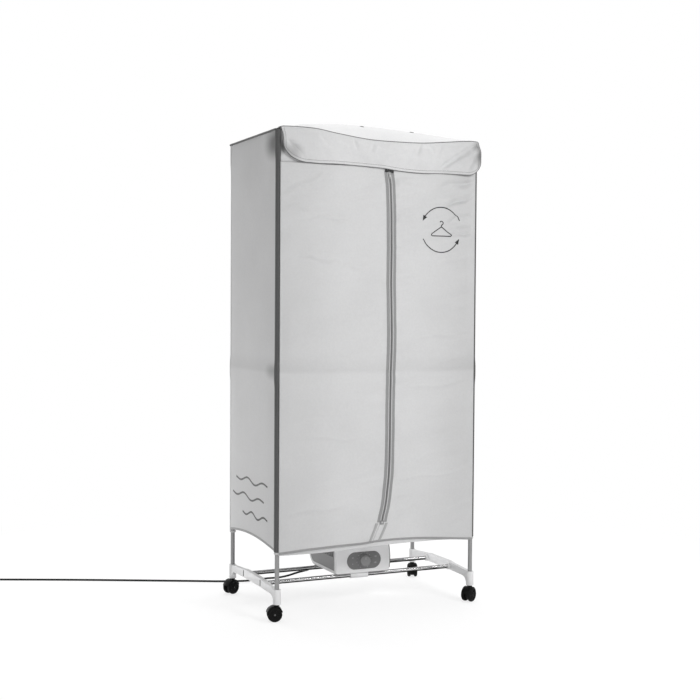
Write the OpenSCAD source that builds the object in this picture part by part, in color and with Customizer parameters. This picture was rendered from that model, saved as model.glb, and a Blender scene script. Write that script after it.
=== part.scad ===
// Portable fabric drying cabinet on four twin-wheel casters: a tube frame with
// hanging rods, a zipped fabric cover and a warm-air blower on two base rods.
// Millimetres. X runs left to right, Y front to back, Z up from the floor.
// The origin is on the floor, midway between the four posts.

/* [Frame] */
// Distance between post centres, left to right
post_span_x = 680; // [600:10:900]
// Distance between post centres, front to back
post_span_y = 408; // [380:4:500]
// Outer diameter of the frame tubes
tube_d = 14; // [12:1:15]
// Wall of the frame tubes
tube_wall = 1; // [0.8:0.1:1.5]
// Height of the middle joint of the posts
joint_z = 758; // [600:1:900]
// Height of the middle rails above the middle joint
mid_rail_lift = 10; // [8:1:14]
// Wall of the plastic connectors round a tube
connector_wall = 2; // [1.5:0.1:2]
// Height of each connector sleeve
connector_h = 56; // [50:1:64]
// Number of hanging rods
hanging_rods_n = 3; // [2:1:4]
// Distance between hanging rods
hanging_pitch = 110; // [80:5:115]
// Outer diameter of the hanging rods
hanging_d = 14; // [10:1:14]

/* [Base] */
// Height of the bottom of the bracket sockets above the floor
socket_z = 52; // [51:1:60]
// Height of a bracket socket
socket_h = 46; // [40:1:52]
// Wall of a bracket socket
socket_wall = 5; // [4:0.5:6]
// Thickness of the bracket beam, left to right
beam_t = 14; // [10:1:20]
// Diameter of the two base rods
base_rod_d = 14; // [12:1:16]
// Distance between the base rods
base_rod_pitch = 154; // [140:2:170]
// Height of the base rod centres
base_rod_z = 91; // [88:1:94]

/* [Casters] */
// Wheel diameter
wheel_d = 46; // [40:1:46]
// Width of one wheel
wheel_w = 12; // [9:0.5:14]
// Thickness of the body between the wheels
body_t = 11; // [8:0.5:13]
// Distance from the swivel axis to the wheel axle
trail = 7; // [4:1:10]
// Diameter of the wheel axle
axle_d = 6; // [5:0.5:8]
// Diameter of the swivel stem
stem_d = 8; // [6:0.5:8]
// Direction in which each caster trails, in degrees: front left, front right, back left, back right
headings = [165, 210, 205, 245];

/* [Cover] */
// Height of the cover's top corners
cover_top_z = 1500; // [1400:10:1700]
// Gap between the connectors and the cloth
cover_gap = 0.3; // [0.3:0.1:2]
// Thickness of the cloth
cloth_t = 1.5; // [1:0.1:1.5]
// Sag of the top front and back edges at the middle
edge_sag = 17; // [0:1:25]
// Rise of the air-filled top panel at its middle
crown = 56; // [20:1:80]
// Swell of the side and back panels
swell = 3; // [0:0.5:6]
// Height of the front hem at the corners
front_hem_z = 208; // [206:1:215]
// Rise of the front hem at the middle
front_hem_rise = 17; // [0:1:20]
// Height of the side hem at the corners
side_hem_z = 213; // [208:1:220]
// Rise of the side hem at the middle
side_hem_rise = 21; // [0:1:30]
// Height of the cover's floor panel
cover_floor_z = 205; // [200:1:206]
// Width of the fixed strip round the front opening
surround_w = 24; // [20:1:26]
// Width of one leg of the corner binding
binding_w = 12; // [8:1:14]
// Thickness of the corner binding
binding_t = 0.8; // [0.5:0.1:1]
// Diameter of the piping on the top edges
piping_d = 4; // [3:0.5:4]

/* [Doors and flap] */
// Height of the flap
flap_drop = 106; // [80:1:120]
// Gap between the flap and the door tops
flap_door_gap = 6; // [4:1:10]
// Radius of the flap's lower corners
flap_corner_r = 32; // [15:1:45]
// Depth of the flap's folds
flap_fold = 6; // [0:1:8]
// Swell of the door panels
door_swell = 4; // [0:0.5:8]
// Left to right place of the zip at its top
zip_top_x = 27; // [0:1:40]
// Left to right place of the zip at its foot
zip_foot_x = 22; // [0:1:40]
// Height of the zip's foot
zip_foot_z = 284; // [250:1:320]
// Width of both zip tapes together
zip_w = 32; // [24:1:36]
// Length of the zip slider
slider_h = 14; // [12:1:16]

/* [Blower] */
// Width of the blower
unit_w = 190; // [180:2:220]
// Left to right place of the blower's middle
unit_x = 3; // [-20:1:20]
// Depth of the blower from its front face to its back
unit_d = 223; // [216:1:230]
// Place of the blower's front face
unit_front_y = -92; // [-96:1:-90]
// Height of the blower
unit_h = 138; // [130:1:142]
// Radius of the blower's lower back edge
unit_r = 45; // [30:1:50]
// Wall of the blower's shell
shell_t = 2.5; // [2:0.5:3]
// Thickness of the front panel
front_t = 6; // [5:0.5:7]
// Width of the control inset
control_w = 122; // [110:2:130]
// Height of the control inset
control_h = 57; // [50:1:60]
// Depth of the control inset
control_depth = 2; // [1:0.5:3]
// Diameter of the timer knob
knob_d = 42; // [36:1:44]
// Height of the timer knob above the control plate
knob_h = 14; // [10:1:18]
// Diameter of the fan
fan_d = 112; // [90:2:120]

/* [Cord] */
// Diameter of the cord
cord_d = 7; // [6:0.5:7]
// Radius of the coil
coil_r = 42; // [38:1:42]
// Length of the plug's pins
pin_len = 19; // [17:0.5:19]
// Diameter of the plug's pins
pin_d = 4.8; // [4:0.1:4.8]
// Distance between the plug's pins
pin_pitch = 19; // [17:0.5:19]

/* [Hidden] */

$fn = 48;
fit = 0.05;             // running clearance on a radius
gap = 0.3;              // gap between pieces that move apart
seam = 0.1;             // gap between a cloth and what is sewn on it
eps = 0.01;

px = post_span_x / 2;
py = post_span_y / 2;
tube_r = tube_d / 2;
bore_r = tube_r + fit;
sleeve_r = tube_r + connector_wall;

// cloth planes, counted outwards from the posts
in_x = px + sleeve_r + cover_gap;
in_y = py + sleeve_r + cover_gap;
out_x = in_x + cloth_t;
out_y = in_y + cloth_t;
panel_top_drop = cloth_t + seam;         // wall panels end just under the top panel
door_in_y = -out_y - gap;
door_out_y = door_in_y - cloth_t;

// frame heights
post_foot_z = socket_z + 8;
post_top_z = cover_top_z - 20;
mid_rail_z = joint_z + mid_rail_lift;
top_rail_z = cover_top_z - 32;
hook_w = 22;                             // width of a hanging rod's hook on the rail
hook_seat = 16;                          // length of rod held in its hook
rail_seat = 14;                          // length of tube held in a connector
boss_len = sleeve_r + rail_seat;
side_rail_half = py - sleeve_r;
cross_rail_half = px - sleeve_r;

// caster, drawn with its swivel axis at the origin
wheel_r = wheel_d / 2;
wheel_in = body_t / 2 + gap;
wheel_out = wheel_in + wheel_w;
wheel_round = wheel_w / 2;
hood_in = wheel_r + 1;
hood_t = 1.6;
stem_top_z = socket_z + socket_h - 14;
collar_z = 2 * wheel_r + gap;            // collar over the wheels, under the socket
collar_r = 8;
corners = [[-1, -1], [1, -1], [-1, 1], [1, 1]];

// end bracket outline
beam_low = [[0, 80], [70, 80], [92, 79.5]];
beam_high = [[0, 107.5], [72, 107], [92, 104]];
beam_post_z = [77, 97];                  // beam at the socket
gusset_r = 24;
rod_boss_r = base_rod_d / 2 + 4;
rod_boss_len = 8;
rod_seat = 10;                           // length of rod held in its boss
base_rod_half = px - beam_t / 2 - rod_boss_len + rod_seat;
slot_w = 3;
slot_h = 18;
slot_z = base_rod_z - 7;

// doors and flap
flap_low_z = cover_top_z - flap_drop;
surround_low_z = cover_floor_z - 3;
door_edge_x = in_x - binding_w + 2;
door_top_z = flap_low_z - flap_door_gap;
header_z = door_top_z - 12;
flap_back_y = -out_y - seam - binding_t - gap;
flap_top_drop = 0.5;
flap_end_x = out_x - 2;
zip_top_z = door_top_z;
zip_slope = (zip_top_x - zip_foot_x) / (zip_top_z - zip_foot_z);
tape_t = 1;
tape_y = door_out_y - gap - tape_t;
coil_w = 2.5;
coil_t = 1.6;
zip_gap = 0.75;                          // half of the gap between the two coils
cloth_back = 6;                          // cloth stops this far from the zip's middle
slider_gap_z = slider_h + 3;             // the left half of the zip ends below the parked slider
slider_mid_z = zip_top_z - slider_h / 2 - 1;
slider_back_y = -out_y - gap;
slider_front_y = tape_y - coil_t - gap;
slider_t = 1.2;
bridge_h = 4.6;                          // the pull's bridge stands this far out
pull_pin_y = slider_front_y - bridge_h + 1.9;
pull_pin_z = slider_mid_z + 2;

// blower
clip_top = 1.5;                          // clip between a rod and the blower's floor
unit_z = base_rod_z + base_rod_d / 2 + clip_top;
unit_top_z = unit_z + unit_h;
unit_l = unit_x - unit_w / 2;
unit_rt = unit_x + unit_w / 2;
shell_front_y = unit_front_y + front_t;
unit_back_y = unit_front_y + unit_d;
control_x = unit_x + 5;
control_z = unit_z + 39.5;
knob_x = control_x;
fan_y = unit_front_y + unit_d / 2 + 3;
motor_h = 26;
motor_foot_w = 90;                       // foot plate under the motor
fan_z = unit_z + shell_t + motor_h + 4;
grille_in = 9;                           // side panel's distance from the outline
grille_t = 2;
grille_sink = 1.5;
grille_end = 12;                         // plain strip before the first slot
grille_back = 98;                        // plain part behind the last slot
grille_slot_h = 28;
shaft_d = 6;
timer_s = 36;
timer_d = 20;
heater_z = fan_z + 34;
heater_h = 14;
heater_w = 150;
heater_l = 124;
heater_leg = 6;                          // side of a leg, and the frame's wall
heater_leg_y = 30;                       // back legs, clear of the motor's foot
outlet_w = 150;
outlet_l = 150;
clip_w = 62;
clip_x = unit_x - 8;
clip_t = 3;
screw_r = 1.5;
screw_dx = 15;
clip_hole_y = 17;                        // screw's distance from the rod

// gland on the lower back edge, pointing down and back
gland_x = unit_l + 32;
gland_len = 20;
gland_r = 6.5;
gland_y = unit_back_y - unit_r + unit_r * cos(45);
gland_z = unit_z + unit_r - unit_r * sin(45);
gland_end = [gland_x, gland_y + gland_len * cos(45), gland_z - gland_len * sin(45)];

floor_z = cord_d / 2;

// coil: enters along coil_dir, climbs as it turns, and leaves to the plug
coil_dir = [-cos(24), sin(24), 0];
coil_side = [-sin(24), -cos(24), 0];
coil_in = [-1128, 747, floor_z];
coil_turns = 1.75;
coil_steps = 24;
coil_pitch = cord_d + 0.9;
coil_mid = coil_in + cord_d * coil_dir + coil_r * coil_side;
exit_len = 80;
exit_steps = 9;

// cord route on from the gland, points chosen by hand
route_run = [[-60, 142, 87], [-68, 148, 76], [-90, 154, 67], [-118, 163, 60], [-143, 186, 47],
    [-166, 222, 34], [-190, 264, 25], [-216, 308, 13], [-243, 340, 5], [-285, 356, floor_z + 0.7],
    [-328, 374, floor_z + 0.2], [-420, 420, floor_z], [-518, 467, floor_z], [-648, 530, floor_z],
    [-780, 592, floor_z], [-902, 647, floor_z], [-1040, 708, floor_z]];
route = concat([gland_end, gland_end + [0, 5, -5]], route_run, [coil_in - 12 * coil_dir, coil_in]);
ring_step = 21;

plug_r = 13;
plug_len = 36;

// ---------- helpers ----------

// rounded rectangle from its middle
module round_rect(w, h, r) {
    square([w - 2 * r, h], center = true);
    square([w, h - 2 * r], center = true);
    for (i = [-1, 1])
        for (j = [-1, 1])
            translate([i * (w / 2 - r), j * (h / 2 - r)]) circle(r);
}

// extrudes an outline drawn in Y and Z along X, from x
module along_x(x, length) {
    translate([x, 0, 0]) rotate([90, 0, 90]) linear_extrude(length) children();
}

// extrudes an outline drawn in X and Z along Y, from y
module along_y(y, length) {
    translate([0, y + length, 0]) rotate([90, 0, 0]) linear_extrude(length) children();
}

module tube(length, r, wall) {
    difference() {
        cylinder(length, r = r);
        translate([0, 0, -1]) cylinder(length + 2, r = r - wall);
    }
}

function grid(nu, nv, f) = [for (i = [0:nu]) for (j = [0:nv]) f(i / nu, j / nv)];

// triangles of a closed sheet whose outer grid comes first, then its inner grid
function sheet_faces(nu, nv) =
    let (m = nv + 1, n = (nu + 1) * m)
    concat(
        [for (i = [0:nu - 1]) for (j = [0:nv - 1]) let (a = i * m + j, b = a + m, c = b + 1, d = a + 1)
            each [[a, d, c], [a, c, b], [a + n, c + n, d + n], [a + n, b + n, c + n]]],
        [for (i = [0:nu - 1]) let (a = i * m, b = a + m, c = b + nv, d = a + nv)
            each [[a, b, b + n], [a, b + n, a + n], [c, d, d + n], [c, d + n, c + n]]],
        [for (j = [0:nv - 1]) let (a = j, d = j + 1, b = nu * m + j, c = b + 1)
            each [[d, a, a + n], [d, a + n, d + n], [b, c, c + n], [b, c + n, b + n]]]);

// a sheet of cloth: u and v turn so that their right-handed normal points outwards
module cloth(nu, nv, outer, inner) {
    polyhedron(concat(grid(nu, nv, outer), grid(nu, nv, inner)), sheet_faces(nu, nv), convexity = 6);
}

function unit(v) = v / norm(v);

// point on a smooth curve through p1 and p2
function curve_point(p0, p1, p2, p3, t) =
    0.5 * (2 * p1 + (p2 - p0) * t + (2 * p0 - 5 * p1 + 4 * p2 - p3) * t * t
    + (3 * p1 - p0 - 3 * p2 + p3) * t * t * t);

// smooth curve through hand-chosen points, with a point about every step
function smooth(p, step) = let (n = len(p) - 1)
    [for (i = [0:n - 1]) let (k = max(1, round(norm(p[i + 1] - p[i]) / step)))
        for (j = [0:k - 1])
            curve_point(p[max(0, i - 1)], p[i], p[i + 1], p[min(n, i + 2)], j / k),
        p[n]];

function path_length(p) = len(p) < 2 ? 0
    : [for (i = 0, s = 0; i < len(p); s = s + (i + 1 < len(p) ? norm(p[i + 1] - p[i]) : 0), i = i + 1)
        s][len(p) - 1];

function heading(p, i, first, last) = i == 0 ? first
    : i == len(p) - 1 ? last : unit(p[i + 1] - p[i - 1]);

// round tube of n sides swept along points that never run straight up
function ring(c, t, r, n) = let (a = unit(cross(t, [0, 0, 1])), b = cross(a, t))
    [for (k = [0:n - 1]) c + r * (cos(360 * k / n) * a + sin(360 * k / n) * b)];

module swept(p, r, n, first, last) {
    m = len(p);
    points = [for (i = [0:m - 1]) each ring(p[i], heading(p, i, first, last), r, n)];
    sides = [for (i = [0:m - 2]) for (k = [0:n - 1])
        let (a = i * n + k, b = i * n + (k + 1) % n)
            each [[a, b + n, a + n], [a, b, b + n]]];
    foot = [for (k = [1:n - 2]) [0, k + 1, k]];
    head = [for (k = [1:n - 2]) [(m - 1) * n, (m - 1) * n + k, (m - 1) * n + k + 1]];
    polyhedron(points, concat(sides, foot, head), convexity = 8);
}

// ---------- frame ----------

module at_posts() {
    for (c = corners) translate([c[0] * px, c[1] * py, 0]) mirror([c[0] > 0 ? 1 : 0, 0, 0])
        mirror([0, c[1] > 0 ? 1 : 0, 0]) children();
}

module lower_posts() {
    color("#8f9194") at_posts() translate([0, 0, post_foot_z])
        tube(joint_z - post_foot_z, tube_r, tube_wall);
}

module upper_posts() {
    color("#8f9194") at_posts() translate([0, 0, joint_z])
        tube(post_top_z - joint_z, tube_r, tube_wall);
}

// sleeve with a boss towards +Y and, where wanted, one towards +X
module connector(low, high, rail_z, cross_boss) {
    difference() {
        union() {
            translate([0, 0, low]) cylinder(high - low, r = sleeve_r);
            translate([0, 0, rail_z]) rotate([-90, 0, 0]) cylinder(boss_len, r = sleeve_r);
            if (cross_boss)
                translate([0, 0, rail_z]) rotate([0, 90, 0]) cylinder(boss_len, r = sleeve_r);
        }
        translate([0, 0, low - 1]) cylinder(post_top_z - low + 1, r = bore_r);
        translate([0, sleeve_r, rail_z]) rotate([-90, 0, 0]) cylinder(boss_len, r = bore_r);
        if (cross_boss)
            translate([sleeve_r, 0, rail_z]) rotate([0, 90, 0]) cylinder(boss_len, r = bore_r);
    }
}

module mid_connectors() {
    color("#5c5e61") at_posts()
        connector(joint_z - connector_h / 2, joint_z + connector_h / 2, mid_rail_z, true);
}

module top_connectors() {
    color("#5c5e61") at_posts()
        connector(post_top_z - connector_h - 8, post_top_z + 4, top_rail_z, false);
}

module mid_side_rails() {
    color("#8f9194") for (i = [-1, 1]) translate([i * px, -side_rail_half, mid_rail_z])
        rotate([-90, 0, 0]) tube(2 * side_rail_half, tube_r, tube_wall);
}

module mid_cross_rails() {
    color("#8f9194") for (j = [-1, 1]) translate([-cross_rail_half, j * py, mid_rail_z])
        rotate([0, 90, 0]) tube(2 * cross_rail_half, tube_r, tube_wall);
}

module top_side_rails() {
    color("#8f9194") for (i = [-1, 1]) translate([i * px, -side_rail_half, top_rail_z])
        rotate([-90, 0, 0]) tube(2 * side_rail_half, tube_r, tube_wall);
}

module at_hangers() {
    for (k = [0:hanging_rods_n - 1])
        translate([0, (k - (hanging_rods_n - 1) / 2) * hanging_pitch, top_rail_z]) children();
}

module hanging_rods() {
    half = px - sleeve_r;
    color("#d9dadc") at_hangers() translate([-half, 0, 0]) rotate([0, 90, 0])
        tube(2 * half, hanging_d / 2, tube_wall);
}

module hanging_rod_hooks() {
    color("#5c5e61") at_hangers() for (i = [0, 1]) mirror([i, 0, 0]) translate([-px, 0, 0])
        difference() {
            union() {
                rotate([90, 0, 0]) cylinder(hook_w, r = sleeve_r, center = true);
                rotate([0, 90, 0])
                    cylinder(sleeve_r + hook_seat, r = hanging_d / 2 + connector_wall);
            }
            rotate([90, 0, 0]) cylinder(hook_w + 2, r = bore_r, center = true);
            translate([sleeve_r, 0, 0]) rotate([0, 90, 0])
                cylinder(hook_seat + 4, r = hanging_d / 2 + fit);
        }
}

// ---------- base ----------

module beam_outline() {
    post_low = [py - tube_r, beam_post_z[0]];
    post_high = [py - tube_r, beam_post_z[1]];
    high = concat(beam_high, [post_high]);
    low = concat(beam_low, [post_low]);
    polygon(concat([for (i = [len(high) - 1:-1:0]) high[i]], [for (i = [1:len(high) - 1])
        [-high[i][0], high[i][1]]], [for (i = [len(low) - 1:-1:0]) [-low[i][0], low[i][1]]],
        [for (i = [1:len(low) - 1]) low[i]]));
}

module gusset_outline() {
    y = py - tube_r - socket_wall - gusset_r;
    difference() {
        translate([y, socket_z + 1]) square([gusset_r + 3, beam_post_z[0] - socket_z + 6]);
        translate([y, socket_z + 1]) circle(gusset_r);
    }
}

// drawn at x = 0 with its outer face towards -X
module end_bracket() {
    socket_r = tube_r + socket_wall;
    difference() {
        union() {
            along_x(-beam_t / 2, beam_t) beam_outline();
            for (j = [0, 1]) mirror([0, j, 0]) along_x(-beam_t / 2, beam_t) gusset_outline();
            for (j = [-1, 1]) translate([0, j * py, socket_z]) cylinder(socket_h, r = socket_r);
            for (j = [-1, 1]) translate([0, j * base_rod_pitch / 2, base_rod_z]) rotate([0, 90, 0])
                cylinder(beam_t / 2 + rod_boss_len, r = rod_boss_r);
        }
        for (j = [-1, 1]) {
            translate([0, j * py, post_foot_z]) cylinder(socket_h, r = bore_r);
            translate([0, j * py, socket_z - 1]) cylinder(socket_h, r = stem_d / 2 + fit);
            translate([beam_t / 2 + rod_boss_len - rod_seat, j * base_rod_pitch / 2, base_rod_z])
                rotate([0, 90, 0]) cylinder(rod_seat + 1, r = base_rod_d / 2 + fit);
            translate([-beam_t / 2 - 1, j * base_rod_pitch / 2 - slot_w / 2, slot_z])
                cube([beam_t + 1, slot_w, slot_h]);
        }
    }
}

module end_bracket_left() {
    color("#eeeeec") translate([-px, 0, 0]) end_bracket();
}

module end_bracket_right() {
    color("#eeeeec") translate([px, 0, 0]) mirror([1, 0, 0]) end_bracket();
}

module base_rods() {
    color("#d9dadc") for (j = [-1, 1])
        translate([-base_rod_half, j * base_rod_pitch / 2, base_rod_z])
            rotate([0, 90, 0]) tube(2 * base_rod_half, base_rod_d / 2, tube_wall);
}

// plug in each rod end, with a tongue that snaps into the bracket's slot
module rod_plugs() {
    reach = px + beam_t / 2 - base_rod_half;
    color("#4a4b4d") for (i = [0, 1]) mirror([i, 0, 0]) for (j = [-1, 1])
        translate([-base_rod_half, j * base_rod_pitch / 2, base_rod_z]) {
            rotate([0, 90, 0]) cylinder(18, r = base_rod_d / 2 - tube_wall - fit);
            translate([-reach, -slot_w / 2 + 4 * fit, -1])
                cube([reach + 2, slot_w - 8 * fit, 6]);
        }
}

// ---------- casters ----------

module at_caster(k) {
    translate([corners[k][0] * px, corners[k][1] * py, 0]) rotate([0, 0, headings[k]]) children();
}

// along the axle, which lies across the trailing direction
module on_axle() {
    translate([trail, 0, wheel_r]) rotate([90, 0, 0]) children();
}

module caster_housing(k) {
    color("#1c1c1d") at_caster(k) difference() {
        union() {
            on_axle() cylinder(body_t, r = wheel_r - 5, center = true);
            on_axle() intersection() {
                difference() {
                    cylinder(2 * wheel_out - 8, r = hood_in + hood_t, center = true);
                    cylinder(2 * wheel_out, r = hood_in, center = true);
                }
                translate([-wheel_r - 8, 6, -wheel_out]) cube([2 * wheel_r + 16, wheel_r, 2 * wheel_out]);
            }
            on_axle() intersection() {
                cylinder(body_t, r = hood_in + eps, center = true);
                translate([-wheel_r - 8, 6, -body_t]) cube([2 * wheel_r + 16, wheel_r, 2 * body_t]);
            }
            translate([0, 0, wheel_r]) cylinder(wheel_r + 1, r = body_t / 2);
            translate([0, 0, collar_z]) cylinder(socket_z - gap - collar_z, r = collar_r);
            translate([0, 0, 2 * wheel_r]) cylinder(stem_top_z - 2 * wheel_r, r = stem_d / 2);
        }
        on_axle() cylinder(2 * body_t, r = axle_d / 2 + 0.02, center = true);
    }
}

module wheel_profile() {
    r0 = axle_d / 2 + fit;
    translate([r0, wheel_in]) square([wheel_r - r0, wheel_w - wheel_round]);
    translate([r0, wheel_in]) square([wheel_r - wheel_round - r0, wheel_w]);
    translate([wheel_r - wheel_round, wheel_out - wheel_round]) circle(wheel_round);
}

module caster_wheels(k) {
    color("#242425") at_caster(k) on_axle() for (i = [0, 1]) mirror([0, 0, i])
        rotate_extrude($fn = 64) wheel_profile();
}

module caster_axle(k) {
    color("#8a8b8d") at_caster(k) on_axle()
        cylinder(2 * wheel_out - 3, r = axle_d / 2, center = true);
}

// ---------- cover ----------

// height of the top front and back edges, which sag between the posts
function edge_z(x) = cover_top_z - edge_sag * pow(1 - pow(min(1, abs(x) / out_x), 2), 2);

function top_z(x, y) = cover_top_z + (edge_z(x) - cover_top_z) * pow(y / out_y, 2)
    + crown * pow(max(0, 1 - pow(x / out_x, 2)), 0.8) * (1 - pow(y / out_y, 2));

// soft folds, none at the seams
function fold(u, v) = pow(sin(180 * u), 2) * (0.6 * sin(180 * v) + 0.25 * (1 + sin(540 * v + 240 * u))
    * sin(180 * v));

module cover_side() {
    y = function(u) in_y * (2 * u - 1);
    z = function(u, v) let (low = side_hem_z + side_hem_rise * sin(180 * u)) low
        + (cover_top_z - panel_top_drop - low) * v;
    cloth(8, 14, function(u, v) [out_x + swell * fold(u, v), y(u), z(u, v)],
        function(u, v) [in_x + swell * fold(u, v), y(u), z(u, v)]);
}

module cover_right() {
    color("#b9babc") cover_side();
}

module cover_left() {
    color("#b9babc") mirror([1, 0, 0]) cover_side();
}

module cover_back() {
    x = function(u) out_x * (1 - 2 * u);
    z = function(u, v) let (low = side_hem_z + front_hem_rise * sin(180 * u))
        low + (edge_z(x(u)) - panel_top_drop - low) * v;
    color("#b9babc") cloth(14, 14, function(u, v) [x(u), out_y + swell * fold(u, v), z(u, v)],
        function(u, v) [x(u), in_y + swell * fold(u, v), z(u, v)]);
}

module cover_top() {
    at = function(u, v) let (x = out_x * (2 * u - 1), y = out_y * (2 * v - 1)) [x, y, top_z(x, y)];
    color("#cfd0d2") cloth(18, 12, at, function(u, v) at(u, v) - [0, 0, cloth_t]);
}

// fixed frame of cloth round the front opening, with the header behind the flap
module front_surround() {
    steps = 20;
    top = [for (i = [0:steps]) let (x = out_x * (1 - 2 * i / steps))
        [x, edge_z(x) - panel_top_drop]];
    color("#c6c7c9") along_y(-out_y, cloth_t) difference() {
        polygon(concat([[-out_x, surround_low_z], [out_x, surround_low_z]], top));
        translate([-out_x + surround_w, surround_low_z + 20])
            square([2 * (out_x - surround_w), header_z - surround_low_z - 20]);
    }
}

// floor of the cover, with holes for the posts and the blower
module cover_floor() {
    t = cloth_t;
    rim_h = side_hem_z - cover_floor_z + 4;
    color("#d2d3d5") difference() {
        translate([-in_x, -in_y, cover_floor_z]) cube([2 * in_x, 2 * in_y, rim_h]);
        translate([-in_x + t, -in_y + t, cover_floor_z + t])
            cube([2 * (in_x - t), 2 * (in_y - t), rim_h]);
        at_posts() translate([0, 0, cover_floor_z - 1]) cylinder(rim_h + 2, r = tube_r + gap);
        translate([unit_l - gap, unit_front_y - gap, cover_floor_z - 1])
            cube([unit_w + 2 * gap, unit_d + 2 * gap, rim_h]);
    }
}

// tapes folded round the upright corners
module corner_bindings() {
    t = binding_t;
    color("#6a6b6e") for (i = [0, 1]) mirror([i, 0, 0]) for (j = [0, 1]) mirror([0, j, 0])
        translate([-out_x - seam - t, -out_y - seam - t, side_hem_z])
            linear_extrude(cover_top_z - 8 - side_hem_z) {
                square([t, binding_w]);
                square([binding_w, t]);
            }
}

// piping on the side and back edges of the top; the flap's own edge covers the front one
module top_piping() {
    r = piping_d / 2;
    n = 20;
    line = [for (i = [0:n]) let (x = (out_x - r) * (2 * i / n - 1))
        [x, out_y + r + seam, edge_z(x) - r]];
    color("#6a6b6e") {
        for (i = [-1, 1]) translate([i * (out_x + r + seam), 0, cover_top_z - r])
            rotate([90, 0, 0]) cylinder(2 * out_y, r = r, center = true);
        swept(line, r, 6, [1, 0, 0], [1, 0, 0]);
    }
}

// ---------- doors, flap and zip ----------

function zip_x(z) = zip_foot_x + zip_slope * (z - zip_foot_z);

function door_low_z(x) = front_hem_z + front_hem_rise * sin(90 * (1 + x / door_edge_x));

// a door panel between two edges, given as functions of height
module door_panel(left, right) {
    at = function(u, v, y) let (zr = front_hem_z + (door_top_z - front_hem_z) * v,
        x = left(zr) + (right(zr) - left(zr)) * u, low = door_low_z(x))
        [x, y - door_swell * fold(u, v), low + (door_top_z - low) * v];
    cloth(8, 16, function(u, v) at(u, v, door_out_y), function(u, v) at(u, v, door_in_y));
}

module door_left() {
    color("#d4d5d7") door_panel(function(z) -door_edge_x, function(z) zip_x(z) - cloth_back);
}

module door_right() {
    color("#d4d5d7") door_panel(function(z) zip_x(z) + cloth_back, function(z) door_edge_x);
}

function flap_low(u) = flap_low_z + 6 * (1 - sin(180 * u)) * (1 - u);

function corner_lift(d) = d >= flap_corner_r ? 0
    : flap_corner_r - sqrt(pow(flap_corner_r, 2) - pow(flap_corner_r - d, 2));

// flap over the header: it hangs from the top front edge and waves outwards
module front_flap() {
    wave = function(u, v) flap_fold * (1 - v) * (0.5 - 0.5 * cos(1080 * u)) * (0.35 + 0.65 * u);
    at = function(u, v, y) let (x = flap_end_x * (2 * u - 1), high = edge_z(x) - flap_top_drop,
        low = flap_low(u) + corner_lift(flap_end_x - abs(x))) [x, y - wave(u, v), low + (high - low) * v];
    color("#dcdddf") cloth(28, 5, function(u, v) at(u, v, flap_back_y - cloth_t),
        function(u, v) at(u, v, flap_back_y));
}

// one half of the zip, between the two heights, on the left of its middle line
module zip_half(low, high, side) {
    w = zip_w / 2;
    strip = function(a, b) [[zip_x(low) + side * a, low], [zip_x(high) + side * a, high],
        [zip_x(high) + side * b, high], [zip_x(low) + side * b, low]];
    along_y(tape_y, tape_t) polygon(strip(zip_gap, w));
    along_y(tape_y - coil_t, coil_t + eps) polygon(strip(zip_gap, zip_gap + coil_w));
}

module zip_tape_left() {
    color("#9a9b9d") zip_half(zip_foot_z, zip_top_z - slider_gap_z, -1);
}

module zip_tape_right() {
    color("#9a9b9d") zip_half(zip_foot_z, zip_top_z, 1);
}

module zip_top_bar() {
    color("#2c2c2d") translate([zip_top_x - 18, -out_y - 0.5, flap_low_z - 5])
        cube([36, 0.5, 8]);
}

// plates before and behind the tapes, joined by a web that runs in the gap between the coils
module zip_slider() {
    color("#55565a") translate([zip_x(slider_mid_z), 0, slider_mid_z])
        rotate([0, atan(zip_slope), 0]) {
            translate([-5, slider_front_y - slider_t, -slider_h / 2])
                cube([10, slider_t, slider_h]);
            translate([-4.5, door_out_y + gap, -slider_h / 2])
                cube([9, slider_back_y - door_out_y - gap, slider_h]);
            translate([-0.4, slider_front_y - eps, slider_h / 2 - 5])
                cube([0.8, slider_back_y - slider_front_y + eps, 5]);
            translate([-1.2, slider_front_y - bridge_h, -1]) difference() {
                cube([2.4, 3.5, 6]);
                translate([-1, 1.9, 3]) rotate([0, 90, 0]) cylinder(5, r = 1.15);
            }
        }
}

// tab with an eye round the slider's bridge
module zip_pull() {
    color("#2c2c2d") translate([zip_x(slider_mid_z), pull_pin_y, pull_pin_z]) {
        rotate([0, 90, 0]) cylinder(6.4, r = 1.05, center = true);
        for (i = [-1, 1]) translate([i * 2.4 - 0.8, -1.05, -5]) cube([1.6, 2.1, 5]);
        translate([-3.2, -1.05, -17]) cube([6.4, 2.1, 12.5]);
    }
}

// ---------- blower ----------

// side outline of the blower, drawn in Y and Z, moved inwards by t
module unit_outline(t, front_y = shell_front_y) {
    r = unit_r - t;
    cy = unit_back_y - unit_r;
    cz = unit_z + unit_r;
    translate([front_y, unit_z + t]) square([cy - front_y, unit_h - 2 * t]);
    translate([front_y, cz]) square([unit_back_y - t - front_y, unit_top_z - t - cz]);
    translate([cy, cz]) circle(r);
}

module at_clip_screws() {
    for (j = [-1, 1]) for (i = [-1, 1])
        translate([clip_x + i * screw_dx, j * (base_rod_pitch / 2 - clip_hole_y), 0]) children();
}

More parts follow.
